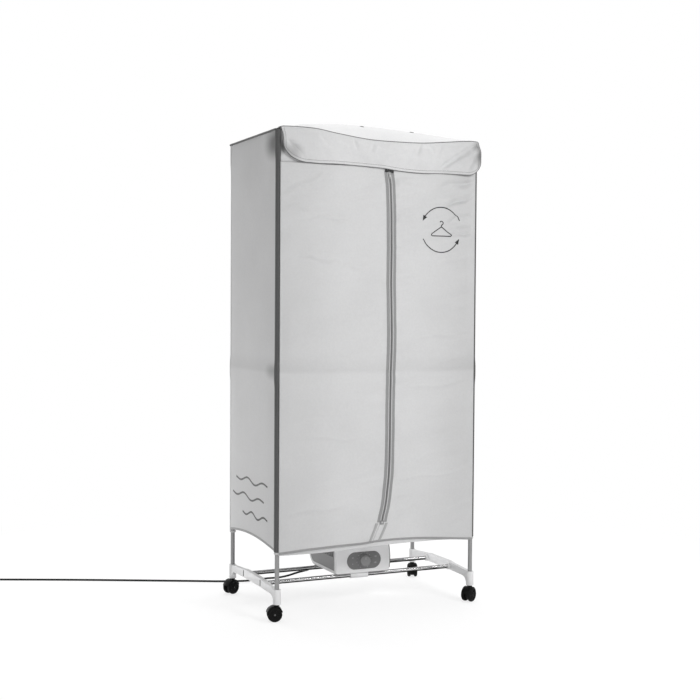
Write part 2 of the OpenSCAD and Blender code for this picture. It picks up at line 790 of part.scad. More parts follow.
module unit_shell() {
    color("#c9cacb") difference() {
        along_x(unit_l, unit_w) unit_outline(0);
        along_x(unit_l + shell_t, unit_w - 2 * shell_t) unit_outline(shell_t, shell_front_y - 1);
        for (x = [unit_l - 1, unit_rt - shell_t - 1]) along_x(x, shell_t + 2)
            unit_outline(grille_in, shell_front_y + grille_in);
        translate([unit_x - outlet_w / 2, fan_y - outlet_l / 2, unit_top_z - shell_t - 1])
            cube([outlet_w, outlet_l, shell_t + 2]);
        at_clip_screws() translate([0, 0, unit_z - 1]) cylinder(shell_t + 2, r = screw_r + fit);
        translate([gland_x, gland_y, gland_z]) rotate([-135, 0, 0])
            cylinder(20, r = cord_d / 2 + 1.5, center = true);
    }
}

// front panel with a lip inside the shell, an oblong inset and a hole for the timer's shaft
module unit_front() {
    lip = shell_t + gap;
    color("#dadbdc") difference() {
        union() {
            translate([unit_x, 0, unit_z + unit_h / 2]) along_y(unit_front_y, front_t)
                round_rect(unit_w, unit_h, 7);
            translate([unit_l + lip, shell_front_y - eps, unit_z + lip])
                cube([unit_w - 2 * lip, 5 + eps, unit_h - 2 * lip]);
        }
        translate([unit_l + lip + 2, shell_front_y - 2, unit_z + lip + 2])
            cube([unit_w - 2 * lip - 4, 9, unit_h - 2 * lip - 4]);
        translate([control_x, 0, control_z]) along_y(unit_front_y - 1, control_depth + 1)
            round_rect(control_w, control_h, control_h / 2 - 1);
        translate([knob_x, unit_front_y + front_t + 1, control_z]) rotate([90, 0, 0])
            cylinder(front_t + 2, r = shaft_d / 2 + 1);
    }
}

module control_plate() {
    w = control_w - 2 * gap;
    h = control_h - 2 * gap;
    color("#7b7c7f") difference() {
        translate([control_x, 0, control_z]) along_y(unit_front_y + 0.5, control_depth - 0.5)
            round_rect(w, h, h / 2 - 1);
        translate([knob_x, unit_front_y + front_t, control_z]) rotate([90, 0, 0])
            cylinder(front_t + 2, r = shaft_d / 2 + fit);
    }
}

// grille plates that fill the side windows, with rows of slots
module side_grilles() {
    slots = 7;
    pitch = (unit_d - grille_end - grille_back) / slots;
    y0 = shell_front_y + grille_in + gap;
    color("#707174") for (x = [unit_l + grille_sink - 1, unit_rt - grille_sink - grille_t + 1])
        difference() {
            along_x(x, grille_t) unit_outline(grille_in + gap, y0);
            for (k = [0:slots - 1]) for (m = [0, 1])
                translate([x - 1, y0 + grille_end + k * pitch,
                    unit_z + unit_r + 7 + m * (grille_slot_h + 10)])
                    cube([grille_t + 2, pitch - 7, grille_slot_h]);
        }
}

module outlet_grille() {
    bars = 9;
    w = outlet_w + 16;
    l = outlet_l + 16;
    pitch = outlet_l / (bars + 1);
    translate([unit_x, fan_y, unit_top_z]) color("#4a4b4d") {
        difference() {
            translate([-w / 2, -l / 2, 0]) cube([w, l, 3]);
            translate([-outlet_w / 2 + 3, -outlet_l / 2 + 3, -1]) cube([outlet_w - 6, outlet_l - 6, 5]);
        }
        for (k = [1:bars]) translate([-outlet_w / 2, -outlet_l / 2 + k * pitch - 1, 0])
            cube([outlet_w, 2, 3]);
        for (i = [-1, 1]) translate([i * outlet_w / 6 - 1.5, -outlet_l / 2, 0])
            cube([3, outlet_l, 3]);
    }
}

module timer_knob() {
    y = unit_front_y + 0.5 - gap;
    color("#85868a") translate([knob_x, y, control_z]) rotate([90, 0, 0]) difference() {
        union() {
            cylinder(3, r = knob_d / 2);
            cylinder(knob_h, r = knob_d / 2 - 2);
            translate([-2, 2, knob_h - 1]) cube([4, knob_d / 2 - 5, 2.2]);
        }
        translate([0, 0, -1]) cylinder(knob_h - 3, r = shaft_d / 2 + fit);
    }
}

module timer_shaft() {
    back = unit_front_y + front_t + 14;
    color("#a9aaac") translate([knob_x, back, control_z]) rotate([90, 0, 0])
        cylinder(back - unit_front_y + knob_h - 5, r = shaft_d / 2);
}

// clockwork timer on the back of the front panel
module timer() {
    y = unit_front_y + front_t;
    color("#3a3b3c") difference() {
        translate([knob_x - timer_s / 2, y, control_z - timer_s / 2])
            cube([timer_s, timer_d, timer_s]);
        translate([knob_x, y + 14 + gap, control_z]) rotate([90, 0, 0])
            cylinder(timer_d, r = shaft_d / 2 + fit);
    }
}

module fan_motor() {
    color("#3a3b3c") translate([unit_x, fan_y, unit_z + shell_t]) difference() {
        union() {
            translate([-motor_foot_w / 2, -10, 0]) cube([motor_foot_w, 20, 3]);
            cylinder(motor_h, r = 24);
        }
        translate([0, 0, 6]) cylinder(motor_h, r = 3 + fit);
    }
}

module impeller() {
    blades = 5;
    hub_r = 18;
    blade_w = 30;
    color("#b4b5b7") translate([unit_x, fan_y, fan_z]) {
        translate([0, 0, -motor_h + 3]) cylinder(motor_h, r = 3);
        cylinder(18, r = hub_r);
        for (k = [0:blades - 1]) rotate([0, 0, 360 / blades * k]) translate([0, 0, 9])
            intersection() {
                rotate([30, 0, 0]) translate([hub_r - 2, -blade_w / 2, -0.8])
                    cube([fan_d / 2 - hub_r + 2, blade_w, 1.6]);
                cylinder(blade_w + 10, r = fan_d / 2, center = true);
            }
    }
}

module heater_frame() {
    leg = heater_leg;
    foot_z = unit_z + shell_t;
    color("#8f9194") translate([unit_x, fan_y, 0]) {
        translate([0, 0, heater_z]) difference() {
            translate([-heater_w / 2, -heater_l / 2, 0]) cube([heater_w, heater_l, heater_h]);
            translate([-heater_w / 2 + leg, -heater_l / 2 + leg, 2])
                cube([heater_w - 2 * leg, heater_l - 2 * leg, heater_h]);
            translate([-heater_w / 2 + leg + 3, -heater_l / 2 + leg + 3, -1])
                cube([heater_w - 2 * leg - 6, heater_l - 2 * leg - 6, heater_h]);
        }
        for (i = [-1, 1]) for (j = [0, 1])
            translate([i * (heater_w / 2 - leg / 2) - leg / 2, j ? heater_leg_y : -heater_l / 2, foot_z])
                cube([leg, leg, heater_z - foot_z + eps]);
    }
}

// flat heating strips in a stack of fins
module heating_element() {
    w = heater_w - 13;
    l = heater_l - 13;
    strips = 4;
    fins = 22;
    color("#c0a98a") translate([unit_x - w / 2, fan_y - l / 2, heater_z + 2]) {
        for (k = [0:strips]) translate([0, k * (l - 5) / strips, 0]) cube([w, 5, 11]);
        for (k = [0:fins]) translate([k * (w - 0.8) / fins, 0, 1]) cube([0.8, l, 9]);
    }
}

// clips that hug the base rods from below and screw up into the blower's floor
module rod_clips() {
    r = base_rod_d / 2;
    color("#dadbdc") for (j = [0, 1]) mirror([0, j, 0]) difference() {
        along_x(clip_x - clip_w / 2, clip_w) difference() {
            union() {
                translate([-base_rod_pitch / 2, base_rod_z]) circle(r + clip_t);
                translate([-base_rod_pitch / 2, unit_z - 3.5])
                    square([clip_hole_y + 7, 3.5]);
            }
            translate([-base_rod_pitch / 2, base_rod_z]) circle(r + fit);
            translate([-base_rod_pitch / 2 - 2 * r, unit_z]) square([4 * r, 2 * r]);
            translate([-base_rod_pitch / 2 + 2, base_rod_z - 2 * r]) square([2 * r, 2 * r - 1]);
        }
        for (i = [-1, 1]) translate([clip_x + i * screw_dx, -base_rod_pitch / 2 + clip_hole_y, 0])
            cylinder(2 * unit_z, r = screw_r + fit);
    }
}

module unit_screws() {
    color("#a9aaac") at_clip_screws() translate([0, 0, unit_z - 3.5]) {
        cylinder(12, r = screw_r);
        translate([0, 0, -2.2]) cylinder(2.2, r = 3);
    }
}

// ---------- cord ----------

module cord_gland() {
    color("#1c1c1d") translate([gland_x, gland_y, gland_z]) rotate([-135, 0, 0]) {
        translate([0, 0, 1]) cylinder(gland_len - 1, r1 = gland_r, r2 = cord_d / 2 + 1.2);
        translate([0, 0, -4]) cylinder(6, r = cord_d / 2 + 1.4);
    }
}

cord_path = smooth(route, ring_step);

module cord() {
    color("#1a1a1a") swept(cord_path, cord_d / 2, 8, [0, cos(45), -sin(45)], coil_dir);
}

// angle is counted from the point where the cord comes in
function coil_at(a) = coil_mid - coil_r * cos(a) * coil_side + coil_r * sin(a) * coil_dir
    + [0, 0, coil_pitch * a / 360];
function ease(t) = t * t * (3 - 2 * t);
coil_end_a = 360 * coil_turns;
coil_end = coil_at(coil_end_a);
exit_dir = sin(coil_end_a) * coil_side + cos(coil_end_a) * coil_dir;
coil_path = concat([coil_in, coil_in + 0.9 * cord_d * coil_dir],
    [for (k = [0:coil_steps * coil_turns]) coil_at(360 * k / coil_steps)],
    [for (k = [1:exit_steps]) let (t = k / exit_steps)
        coil_end + exit_len * t * exit_dir - [0, 0, (coil_end[2] - plug_r) * ease(t)]],
    [coil_end + (exit_len + cord_d) * exit_dir - [0, 0, coil_end[2] - plug_r]]);
plug_seat = coil_path[len(coil_path) - 1];

module cord_coil() {
    color("#1a1a1a") swept(coil_path, cord_d / 2, 6, coil_dir, exit_dir);
}

// least gap between turns of the coil, measured on points at least a quarter turn apart
coil_least = min([for (i = [0:len(coil_path) - 8]) for (j = [i + 7:len(coil_path) - 1])
    norm(coil_path[i] - coil_path[j])]) - cord_d;
echo(coil_self_gap_mm = coil_least, cord_length_mm = path_length(cord_path) + path_length(coil_path));

// strap round the two turns opposite the way in
module cord_tie() {
    a = 200;
    p = coil_at(a);
    low = p[2] - cord_d / 2;
    color("#d9dadc") translate([p[0], p[1], 0]) rotate([0, 0, a - 24]) translate([0, 0, low - 1])
        difference() {
            translate([-3, -cord_d / 2 - 2.2, 0]) cube([6, cord_d + 4.4, coil_pitch + cord_d + 2]);
            translate([-4, -cord_d / 2 - 0.9, 0.7])
                cube([8, cord_d + 1.8, coil_pitch + cord_d + 0.6]);
        }
}

module plug() {
    color("#1a1a1a") translate(plug_seat) rotate([0, 0, atan2(exit_dir[1], exit_dir[0])])
        rotate([0, 90, 0]) {
            cylinder(10, r = 7);
            translate([0, 0, 8]) cylinder(plug_len - 8, r = plug_r);
            for (i = [-1, 1]) translate([0, i * pin_pitch / 2, plug_len])
                cylinder(pin_len, r = pin_d / 2);
        }
}

lower_posts();
upper_posts();
mid_connectors();
top_connectors();
end_bracket_left();
end_bracket_right();
base_rods();
rod_plugs();
mid_side_rails();
mid_cross_rails();
top_side_rails();
hanging_rods();
hanging_rod_hooks();
caster_housing(0);  // caster_housing_fl
caster_wheels(0);  // caster_wheels_fl
caster_axle(0);  // caster_axle_fl
caster_housing(1);  // caster_housing_fr
caster_wheels(1);  // caster_wheels_fr
caster_axle(1);  // caster_axle_fr
caster_housing(2);  // caster_housing_bl
caster_wheels(2);  // caster_wheels_bl
caster_axle(2);  // caster_axle_bl
caster_housing(3);  // caster_housing_br
caster_wheels(3);  // caster_wheels_br
caster_axle(3);  // caster_axle_br
cover_left();
cover_right();
cover_back();
cover_top();
front_surround();
cover_floor();
corner_bindings();
top_piping();
door_left();
door_right();
front_flap();
zip_tape_left();
zip_tape_right();
zip_top_bar();
zip_slider();
zip_pull();
unit_shell();
unit_front();
side_grilles();
outlet_grille();
control_plate();
timer_knob();
timer_shaft();
timer();
fan_motor();
impeller();
heater_frame();
heating_element();
rod_clips();
unit_screws();
cord_gland();
cord();
cord_coil();
cord_tie();
plug();
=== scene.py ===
import bisect
import math

import bpy
import bmesh
from mathutils import Matrix, Vector, noise


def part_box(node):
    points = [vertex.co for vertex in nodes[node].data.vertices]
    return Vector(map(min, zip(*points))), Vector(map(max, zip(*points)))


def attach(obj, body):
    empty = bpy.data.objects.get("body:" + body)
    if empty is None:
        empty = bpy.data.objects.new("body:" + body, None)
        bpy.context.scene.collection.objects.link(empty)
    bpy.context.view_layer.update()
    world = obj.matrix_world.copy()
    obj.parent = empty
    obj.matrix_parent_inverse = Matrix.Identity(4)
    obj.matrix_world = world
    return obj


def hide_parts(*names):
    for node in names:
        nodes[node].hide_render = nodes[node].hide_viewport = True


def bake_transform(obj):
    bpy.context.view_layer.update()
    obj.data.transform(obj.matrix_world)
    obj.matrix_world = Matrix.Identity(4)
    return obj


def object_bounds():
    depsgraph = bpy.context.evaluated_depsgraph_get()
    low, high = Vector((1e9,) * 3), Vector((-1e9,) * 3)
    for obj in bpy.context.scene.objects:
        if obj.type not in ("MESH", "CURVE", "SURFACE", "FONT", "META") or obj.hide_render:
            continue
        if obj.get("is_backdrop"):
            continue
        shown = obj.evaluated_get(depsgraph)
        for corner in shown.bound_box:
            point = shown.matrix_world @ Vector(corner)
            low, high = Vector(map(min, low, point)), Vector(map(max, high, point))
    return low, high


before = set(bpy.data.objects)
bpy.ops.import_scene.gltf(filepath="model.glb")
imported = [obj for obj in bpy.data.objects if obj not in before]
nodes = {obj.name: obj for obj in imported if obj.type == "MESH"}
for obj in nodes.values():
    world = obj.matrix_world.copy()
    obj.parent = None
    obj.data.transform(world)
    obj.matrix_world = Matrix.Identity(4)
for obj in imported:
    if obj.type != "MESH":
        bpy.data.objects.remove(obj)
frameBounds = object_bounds()
mm = 0.001
weldGap = 1e-6              # points nearer than this become one
print("frame loaded")


# ---- ways of making a piece ----

def pick(piece):
    # selects this piece alone
    bpy.ops.object.select_all(action="DESELECT")
    piece.select_set(True)
    bpy.context.view_layer.objects.active = piece


def added(name):
    # the primitive that was just added, under its own name
    piece = bpy.context.object
    piece.name = name
    piece.data.name = name
    return piece


def apply(piece, kind, **settings):
    pick(piece)
    modifier = piece.modifiers.new(kind, kind)
    for key, value in settings.items():
        setattr(modifier, key, value)
    bpy.ops.object.modifier_apply(modifier=modifier.name)


def soften(piece, width, segments=2, angle=35):
    apply(piece, "BEVEL", width=width, segments=segments, limit_method="ANGLE",
          angle_limit=math.radians(angle), harden_normals=False)


def linked(name, data):
    # a new object in the scene
    piece = bpy.data.objects.new(name, data)
    bpy.context.scene.collection.objects.link(piece)
    return piece


def edited(piece, *steps):
    # edit-mode steps, each with its settings, on all of a piece
    pick(piece)
    bpy.ops.object.mode_set(mode="EDIT")
    bpy.ops.mesh.select_all(action="SELECT")
    for step, settings in steps:
        step(**settings)
    bpy.ops.object.mode_set(mode="OBJECT")


oneSkin = (bpy.ops.mesh.remove_doubles, {"threshold": weldGap})
faceOut = (bpy.ops.mesh.normals_make_consistent, {"inside": False})


def settle(piece, finish, body, flatAngle=None, replaces=(), slot=None):
    # place into the mesh, finish on, and onto the body that carries it
    pick(piece)
    bpy.ops.object.transform_apply(location=True, rotation=True, scale=True)
    piece.data.materials.clear()
    piece.data.materials.append(finishes[finish])
    if flatAngle is None:
        bpy.ops.object.shade_smooth()
    else:
        bpy.ops.object.shade_smooth_by_angle(angle=math.radians(flatAngle))
    if body:
        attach(piece, body)
    if replaces:
        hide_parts(*replaces)
    return piece


def joined(name, parts):
    # several parts as one piece, with its own mesh
    bpy.ops.object.select_all(action="DESELECT")
    for part in parts:
        part.select_set(True)
    bpy.context.view_layer.objects.active = parts[0]
    bpy.ops.object.join()
    return added(name)


def primitive(name, add, **settings):
    # one of the stock shapes, under its own name
    bpy.ops.object.select_all(action="DESELECT")
    add(**settings)
    return added(name)


def block(name, low, high):
    # a box between two corners
    centre = [(a + b) / 2 for a, b in zip(low, high)]
    piece = primitive(name, bpy.ops.mesh.primitive_cube_add, size=1, location=centre)
    piece.scale = [b - a for a, b in zip(low, high)]
    bpy.ops.object.transform_apply(location=True, rotation=True, scale=True)
    return piece


def lump(name, size):
    # a box round the origin
    return block(name, [-side / 2 for side in size], [side / 2 for side in size])


def clothSheet(name, across, along, place, size, thickness=1.1 * mm, side=-1):
    # a woven sheet: place(u, v) gives its points, size its cut width and length for the weave
    piece = primitive(name, bpy.ops.mesh.primitive_grid_add, size=2,
                      x_subdivisions=across, y_subdivisions=along)
    for vertex in piece.data.vertices:
        vertex.co = place((vertex.co.x + 1) / 2, (vertex.co.y + 1) / 2)
    for loop in piece.data.uv_layers[0].data:
        loop.uv = (loop.uv[0] * size[0], loop.uv[1] * size[1])
    piece["cutArea"] = sum(face.area for face in piece.data.polygons)
    if thickness:
        apply(piece, "SOLIDIFY", thickness=thickness, offset=side)
    return piece


def tubeAlong(name, points, radius, roundness=2, closed=False):
    # a round cord, piping or wire along points
    curve = bpy.data.curves.new(name, "CURVE")
    curve.dimensions = "3D"
    curve.bevel_depth = radius
    curve.bevel_resolution = roundness
    curve.use_fill_caps = not closed
    spline = curve.splines.new("POLY")
    spline.points.add(len(points) - 1)
    spline.use_cyclic_u = closed
    for point, target in zip(points, spline.points):
        target.co = (*point, 1)
    pick(linked(name, curve))
    bpy.ops.object.convert(target="MESH")
    piece = added(name)
    edited(piece, oneSkin, faceOut)
    return piece


def facing(axis):
    # turns Z towards an axis
    return Vector(axis).to_track_quat("Z", "Y").to_matrix().to_4x4()


def turned(name, profile, axis, centre, steps=48):
    # a lathe: a profile of (radius, height) points, in millimetres, spun round an axis
    mesh = bpy.data.meshes.new(name)
    mesh.from_pydata([(r * mm, 0, h * mm) for r, h in profile],
                     [(i, i + 1) for i in range(len(profile) - 1)], [])
    piece = linked(name, mesh)
    whole = {"steps": steps, "angle": 2 * math.pi, "center": (0, 0, 0), "axis": (0, 0, 1)}
    edited(piece, (bpy.ops.mesh.spin, whole))
    edited(piece, oneSkin, faceOut)
    piece.matrix_world = Matrix.Translation(centre) @ facing(axis)
    return piece


def softCopy(name, nodeName, width, segments=2, angle=35):
    # the frame's own shape, with its edges eased as a moulding's are
    piece = linked(name, nodes[nodeName].data.copy())
    edited(piece, oneSkin, (bpy.ops.mesh.dissolve_limited, {"angle_limit": math.radians(2)}))
    soften(piece, width, segments, angle)
    return piece


def repeated(name, part, places):
    # one small part, copied to many places in one mesh
    result = bmesh.new()
    for place in places:
        copy = part.data.copy()
        copy.transform(place)
        result.from_mesh(copy)
        bpy.data.meshes.remove(copy)
    mesh = bpy.data.meshes.new(name)
    result.to_mesh(mesh)
    result.free()
    bpy.data.objects.remove(part)
    return linked(name, mesh)


def smoothAt(knots, x):
    # height at x of a smooth line through (x, height) knots
    xs = [knot[0] for knot in knots]
    i = max(0, min(len(xs) - 2, bisect.bisect(xs, x) - 1))

    def slope(k):
        a, b = max(0, k - 1), min(len(xs) - 1, k + 1)
        return (knots[b][1] - knots[a][1]) / (xs[b] - xs[a])

    span = xs[i + 1] - xs[i]
    t = (x - xs[i]) / span
    return ((2 * t ** 3 - 3 * t ** 2 + 1) * knots[i][1] + (t ** 3 - 2 * t ** 2 + t) * span * slope(i)
            + (3 * t ** 2 - 2 * t ** 3) * knots[i + 1][1] + (t ** 3 - t ** 2) * span * slope(i + 1))


def clamp(t, low=0.0, high=1.0):
    return max(low, min(high, t))


def ease(t):
    t = clamp(t)
    return t * t * (3 - 2 * t)


def ripple(x, y, z):
    return noise.noise(Vector((x, y, z)))


# ---- camera, as the photograph was taken ----

viewpoint = {
    "place": (-1.7031, -3.6909, 0.9563),
    "right": (0.90855534, -0.41771252, 0.00659169),
    "forward": (0.41769024, 0.90798314, -0.03318865),
    "lens": 63.29,
}


def addCamera():
    data = bpy.data.cameras.new("camera")
    data.lens = viewpoint["lens"]
    camera = linked("camera", data)
    right, forward = Vector(viewpoint["right"]), Vector(viewpoint["forward"])
    turn = Matrix((right, right.cross(forward), -forward)).transposed().to_4x4()
    camera.matrix_world = Matrix.Translation(viewpoint["place"]) @ turn
    bpy.context.scene.camera = camera


addCamera()


# ---- finishes ----

def addNode(tree, kind, inputs=None, **settings):
    node = tree.nodes.new("ShaderNode" + kind)
    for key, value in settings.items():
        setattr(node, key, value)
    for key, value in (inputs or {}).items():
        if isinstance(value, bpy.types.NodeSocket):
            tree.links.new(value, node.inputs[key])
        else:
            node.inputs[key].default_value = value
    return node


def blank(name, finish):
    material = bpy.data.materials.new(name)
    material.use_nodes = True
    tree = material.node_tree
    shader = tree.nodes["Principled BSDF"]
    for socket, value in finish.items():
        shader.inputs[socket].default_value = value
    return material, tree, shader


def grey(level):
    return (level, level, level * 1.003, 1)


def calc(tree, operation, a, b=0.0, c=0.0):
    return addNode(tree, "Math", {0: a, 1: b, 2: c}, operation=operation).outputs[0]


def mapped(tree, value, low, high, atLow, atHigh, shape="LINEAR"):
    # a value from low to high becomes one from atLow to atHigh
    return addNode(tree, "MapRange", {"Value": value, "From Min": low, "From Max": high,
                   "To Min": atLow, "To Max": atHigh}, interpolation_type=shape).outputs[0]


def ramp(tree, value, *ends):
    return mapped(tree, value, *ends, "SMOOTHSTEP")


def spots(tree, where, scale, low, high, detail=3.0):
    # soft variation between two levels
    field = addNode(tree, "TexNoise", {"Vector": where, "Scale": scale, "Detail": detail})
    return mapped(tree, field.outputs["Fac"], 0.3, 0.7, low, high)


def shade(tree, shader, level, factors):
    # base colour as a grey level times several fields
    value = level
    for factor in factors:
        value = calc(tree, "MULTIPLY", value, factor)
    colour = addNode(tree, "CombineColor", {"Red": value, "Green": value,
                     "Blue": calc(tree, "MULTIPLY", value, 1.004)})
    tree.links.new(colour.outputs[0], shader.inputs["Base Color"])


def relief(tree, shader, height, strength, distance):
    bump = addNode(tree, "Bump", {"Height": height, "Strength": strength, "Distance": distance})
    tree.links.new(bump.outputs[0], shader.inputs["Normal"])


def weave(tree, where, pitch):
    # warp and weft as two crossing waves; a wave of scale 1 repeats every pi/10 metres
    scale = math.pi / 10 / pitch
    waves = [addNode(tree, "TexWave", {"Vector": where, "Scale": scale}, wave_type="BANDS",
             bands_direction=way).outputs["Fac"] for way in ("X", "Y")]
    return calc(tree, "MULTIPLY", *waves)


def fabric(name, level, pitch, grain=0.04, paintedShade=False):
    # woven cloth: its threads lie pitch millimetres apart
    material, tree, shader = blank(name, {"Roughness": 0.82, "Sheen Weight": 0.12, "Sheen Roughness": 0.5})
    place = addNode(tree, "TexCoord")
    threads = weave(tree, place.outputs["UV"], pitch * mm)
    slubs = spots(tree, place.outputs["Object"], 160, 1 - grain / 2, 1 + grain / 2, 2.0)
    factors = [spots(tree, place.outputs["Object"], 5, 0.965, 1.025), slubs,
               mapped(tree, threads, 0.0, 1.0, 0.95, 1.02)]
    # painted shade and shadows of the frame behind the cloth
    if paintedShade:
        factors += frameShadows(tree, place.outputs["Object"])
    shade(tree, shader, level, factors)
    relief(tree, shader, threads, 0.35, 0.25 * mm)
    return material


frameShade = {
    # painted shade on the cloth, where the frame behind it and the light would darken it: centre, reach,
    # tone; the first three show on both sides
    # painted shadows of the top and middle corner joints, then painted shade along the top of both side
    # panels
    "joints": [((0.352, -0.198, 1.458), (0.034, 0.105, 0.066), 0.26),
               ((0.360, -0.194, 0.764), (0.016, 0.085, 0.040), 0.32),
               ((0.362, -0.020, 1.520), (0.014, 0.300, 0.340), 0.68)],
    # painted shade on the flap's left end and beside the front binding, left side only
    "leftShadeSpots": [((-0.306, -0.224, 1.434), (0.052, 0.010, 0.040), 0.68),
                   ((-0.332, -0.215, 1.442), (0.016, 0.006, 0.028), 0.40)],
    "core": 0.12,
    # a painted shadow band over the middle rails, deepest near the posts
    "railZ": 0.768, "railAbove": 0.055, "railBelow": 0.014, "railShadeTone": 0.905,
    "railNear": (0.14, 0.34), "railAway": 0.40,
    # painted shade towards the posts
    "postNear": (0.10, 0.345), "postShadeTone": 0.875,
}


def frameShadows(tree, where):
    # painted shade on the cloth: soft dark spots over the joints, along the top of the side panels and at the
    # flap's left end, a painted shadow band over the middle rails, and painted shade towards the posts
    f = frameShade
    parts = addNode(tree, "SeparateXYZ", {0: where}).outputs
    height, fromMiddle = parts[2], calc(tree, "ABSOLUTE", parts[0])
    bothSides = addNode(tree, "CombineXYZ", {0: fromMiddle, 1: parts[1], 2: height}).outputs[0]
    found = []
    patches = [(bothSides, joint) for joint in f["joints"]] + [(where, joint) for joint in f["leftShadeSpots"]]
    for place, (centre, reach, tone) in patches:
        scale = [1 / size for size in reach]
        near = addNode(tree, "VectorMath", {0: place, 1: scale}, operation="MULTIPLY").outputs[0]
        away = addNode(tree, "VectorMath", {0: near, 1: [c * k for c, k in zip(centre, scale)]},
                       operation="DISTANCE").outputs["Value"]
        found.append(ramp(tree, away, f["core"], 1.0, tone, 1.0))
    above = ramp(tree, height, f["railZ"], f["railZ"] + f["railAbove"], 1.0 - f["railShadeTone"], 0.0)
    below = ramp(tree, height, f["railZ"] - f["railBelow"], f["railZ"], 0.0, 1.0 - f["railShadeTone"])
    band = calc(tree, "MULTIPLY", calc(tree, "MINIMUM", above, below),
                ramp(tree, fromMiddle, *f["railNear"], f["railAway"], 1.0))
    found.append(calc(tree, "SUBTRACT", 1.0, band))
    found.append(ramp(tree, fromMiddle, *f["postNear"], 1.0, f["postShadeTone"]))
    return found


def moulded(name, level, roughness, gloss=0.5, coat=0.0, grainScale=900):
    # plastic with a fine spark-eroded grain
    material, tree, shader = blank(name, {"Roughness": roughness, "Coat Weight": coat,
                                          "Specular IOR Level": gloss})
    place = addNode(tree, "TexCoord").outputs["Object"]
    grain = addNode(tree, "TexNoise", {"Vector": place, "Scale": grainScale, "Detail": 2.0})
    shade(tree, shader, level, [spots(tree, place, 12, 0.96, 1.03), spots(tree, place, 260, 0.985, 1.015)])
    relief(tree, shader, grain.outputs["Fac"], 0.12, 0.15 * mm)
    return material


def metal(name, level, roughness, along=(1, 1, 1), metallic=1.0):
    # drawn or plated metal, with fine lines along the draw
    material, tree, shader = blank(name, {"Metallic": metallic})
    place = addNode(tree, "TexCoord").outputs["Object"]
    lines = addNode(tree, "Mapping", {"Vector": place, "Scale": along}).outputs[0]
    rough = spots(tree, lines, 300, roughness * 0.8, roughness * 1.25)
    tree.links.new(rough, shader.inputs["Roughness"])
    shade(tree, shader, level, [spots(tree, place, 9, 0.96, 1.03), spots(tree, lines, 420, 0.97, 1.02)])
    field = addNode(tree, "TexNoise", {"Vector": lines, "Scale": 500.0, "Detail": 2.0})
    relief(tree, shader, field.outputs["Fac"], 0.08, 0.1 * mm)
    return material


# grey level, thread pitch in millimetres, grain, and whether painted shade of the frame behind is laid on
fabrics = {
    "coverCloth": (0.66, 1.0, 0.04, True), "topCloth": (0.68, 1.0),
    "flapCloth": (0.70, 1.0, 0.04, True), "insideCloth": (0.66, 1.0),
    "bindingCloth": (0.088, 0.9, 0.12), "pipingCloth": (0.16, 0.9, 0.12), "hemCloth": (0.32, 0.9, 0.1),
    # the fold strips' darker grey is painted shade of the folds beside the slit
    "foldCloth": (0.42, 0.9, 0.06), "zipCloth": (0.30, 0.8, 0.08), "zipRidge": (0.56, 0.8, 0.06),
    "threadGrey": (0.17, 0.5, 0.1),
}

# grey level, roughness, gloss, coat, grain scale
plastics = {
    "printInk": (0.030, 0.6, 0.3), "zipCoil": (0.22, 0.45), "stopPlastic": (0.26, 0.45),
    "stopInset": (0.52, 0.45), "darkTab": (0.030, 0.5, 0.3), "bracketPlastic": (0.78, 0.38),
    "collarPlastic": (0.58, 0.45), "jointPlastic": (0.10, 0.5), "slotShade": (0.02, 0.6, 0.2),
    "casterPlastic": (0.003, 0.34, 0.11), "casterTyre": (0.004, 0.5, 0.12), "unitPlastic": (0.84, 0.42),
    "shellPlastic": (0.62, 0.45), "sidePanel": (0.17, 0.5), "grillePlastic": (0.09, 0.5),
    "insetPlastic": (0.18, 0.45), "knobPlastic": (0.235, 0.36, 0.5, 0.2), "markInk": (0.48, 0.5),
    "clockPlastic": (0.05, 0.5), "fanPlastic": (0.45, 0.4), "cordRubber": (0.008, 0.5, 0.22, 0.0, 1400),
    "tieStrap": (0.6, 0.45),
}

# grey level, roughness, stretch of the drawn lines, metallic
metals = {
    "sliderMetal": (0.34, 0.36), "pullMetal": (0.42, 0.42),
    "tubePaint": (0.30, 0.40, (1, 1, 0.08), 0.35), "innerTube": (0.42, 0.34, (1, 1, 0.08), 0.75),
    "chromePlate": (0.60, 0.12, (0.06, 1, 1)), "axleSteel": (0.12, 0.35), "heaterSteel": (0.5, 0.35),
    "heaterFins": (0.6, 0.3, (1, 0.1, 1)), "screwSteel": (0.55, 0.28),
}

kinds = ((fabric, fabrics), (moulded, plastics), (metal, metals))
finishes = {name: make(name, *values) for make, kind in kinds
            for name, values in kind.items()}
print("finishes made")


# ---- cord: the route is the frame's own, point for point ----

cordShape = {
    "diameter": 0.007,
    "glandEnd": (-0.060, 0.13232, 0.09854),
    "run": [(-60, 142, 87), (-68, 148, 76), (-90, 154, 67), (-118, 163, 60), (-143, 186, 47),
            (-166, 222, 34), (-190, 264, 25), (-216, 308, 13), (-243, 340, 5), (-285, 356, 4.2),
            (-328, 374, 3.7), (-420, 420, 3.5), (-518, 467, 3.5), (-648, 530, 3.5),
            (-780, 592, 3.5), (-902, 647, 3.5), (-1040, 708, 3.5)],
    "step": 0.021,
    "coilIn": (-1.128, 0.747, 0.0035),
    "coilTurn": 24,                # degrees from -X towards +Y
    "coilRadius": 0.042,
    "turns": 1.75,
    "pitch": 0.0079,
    "coilSteps": 24,
    "exitLength": 0.080,
    "exitSteps": 9,
    "plugZ": 0.013,
}


def curvePoint(a, b, c, d, t):
    return 0.5 * (2 * b + (c - a) * t + (2 * a - 5 * b + 4 * c - d) * t ** 2
                  + (3 * b - a - 3 * c + d) * t ** 3)


def smoothRoute(points, step):
    last = len(points) - 1
    found = []
    for i in range(last):
        count = max(1, round((points[i + 1] - points[i]).length / step))
        found += [curvePoint(points[max(0, i - 1)], points[i], points[i + 1], points[min(last, i + 2)],
                             j / count) for j in range(count)]
    return found + [points[last]]


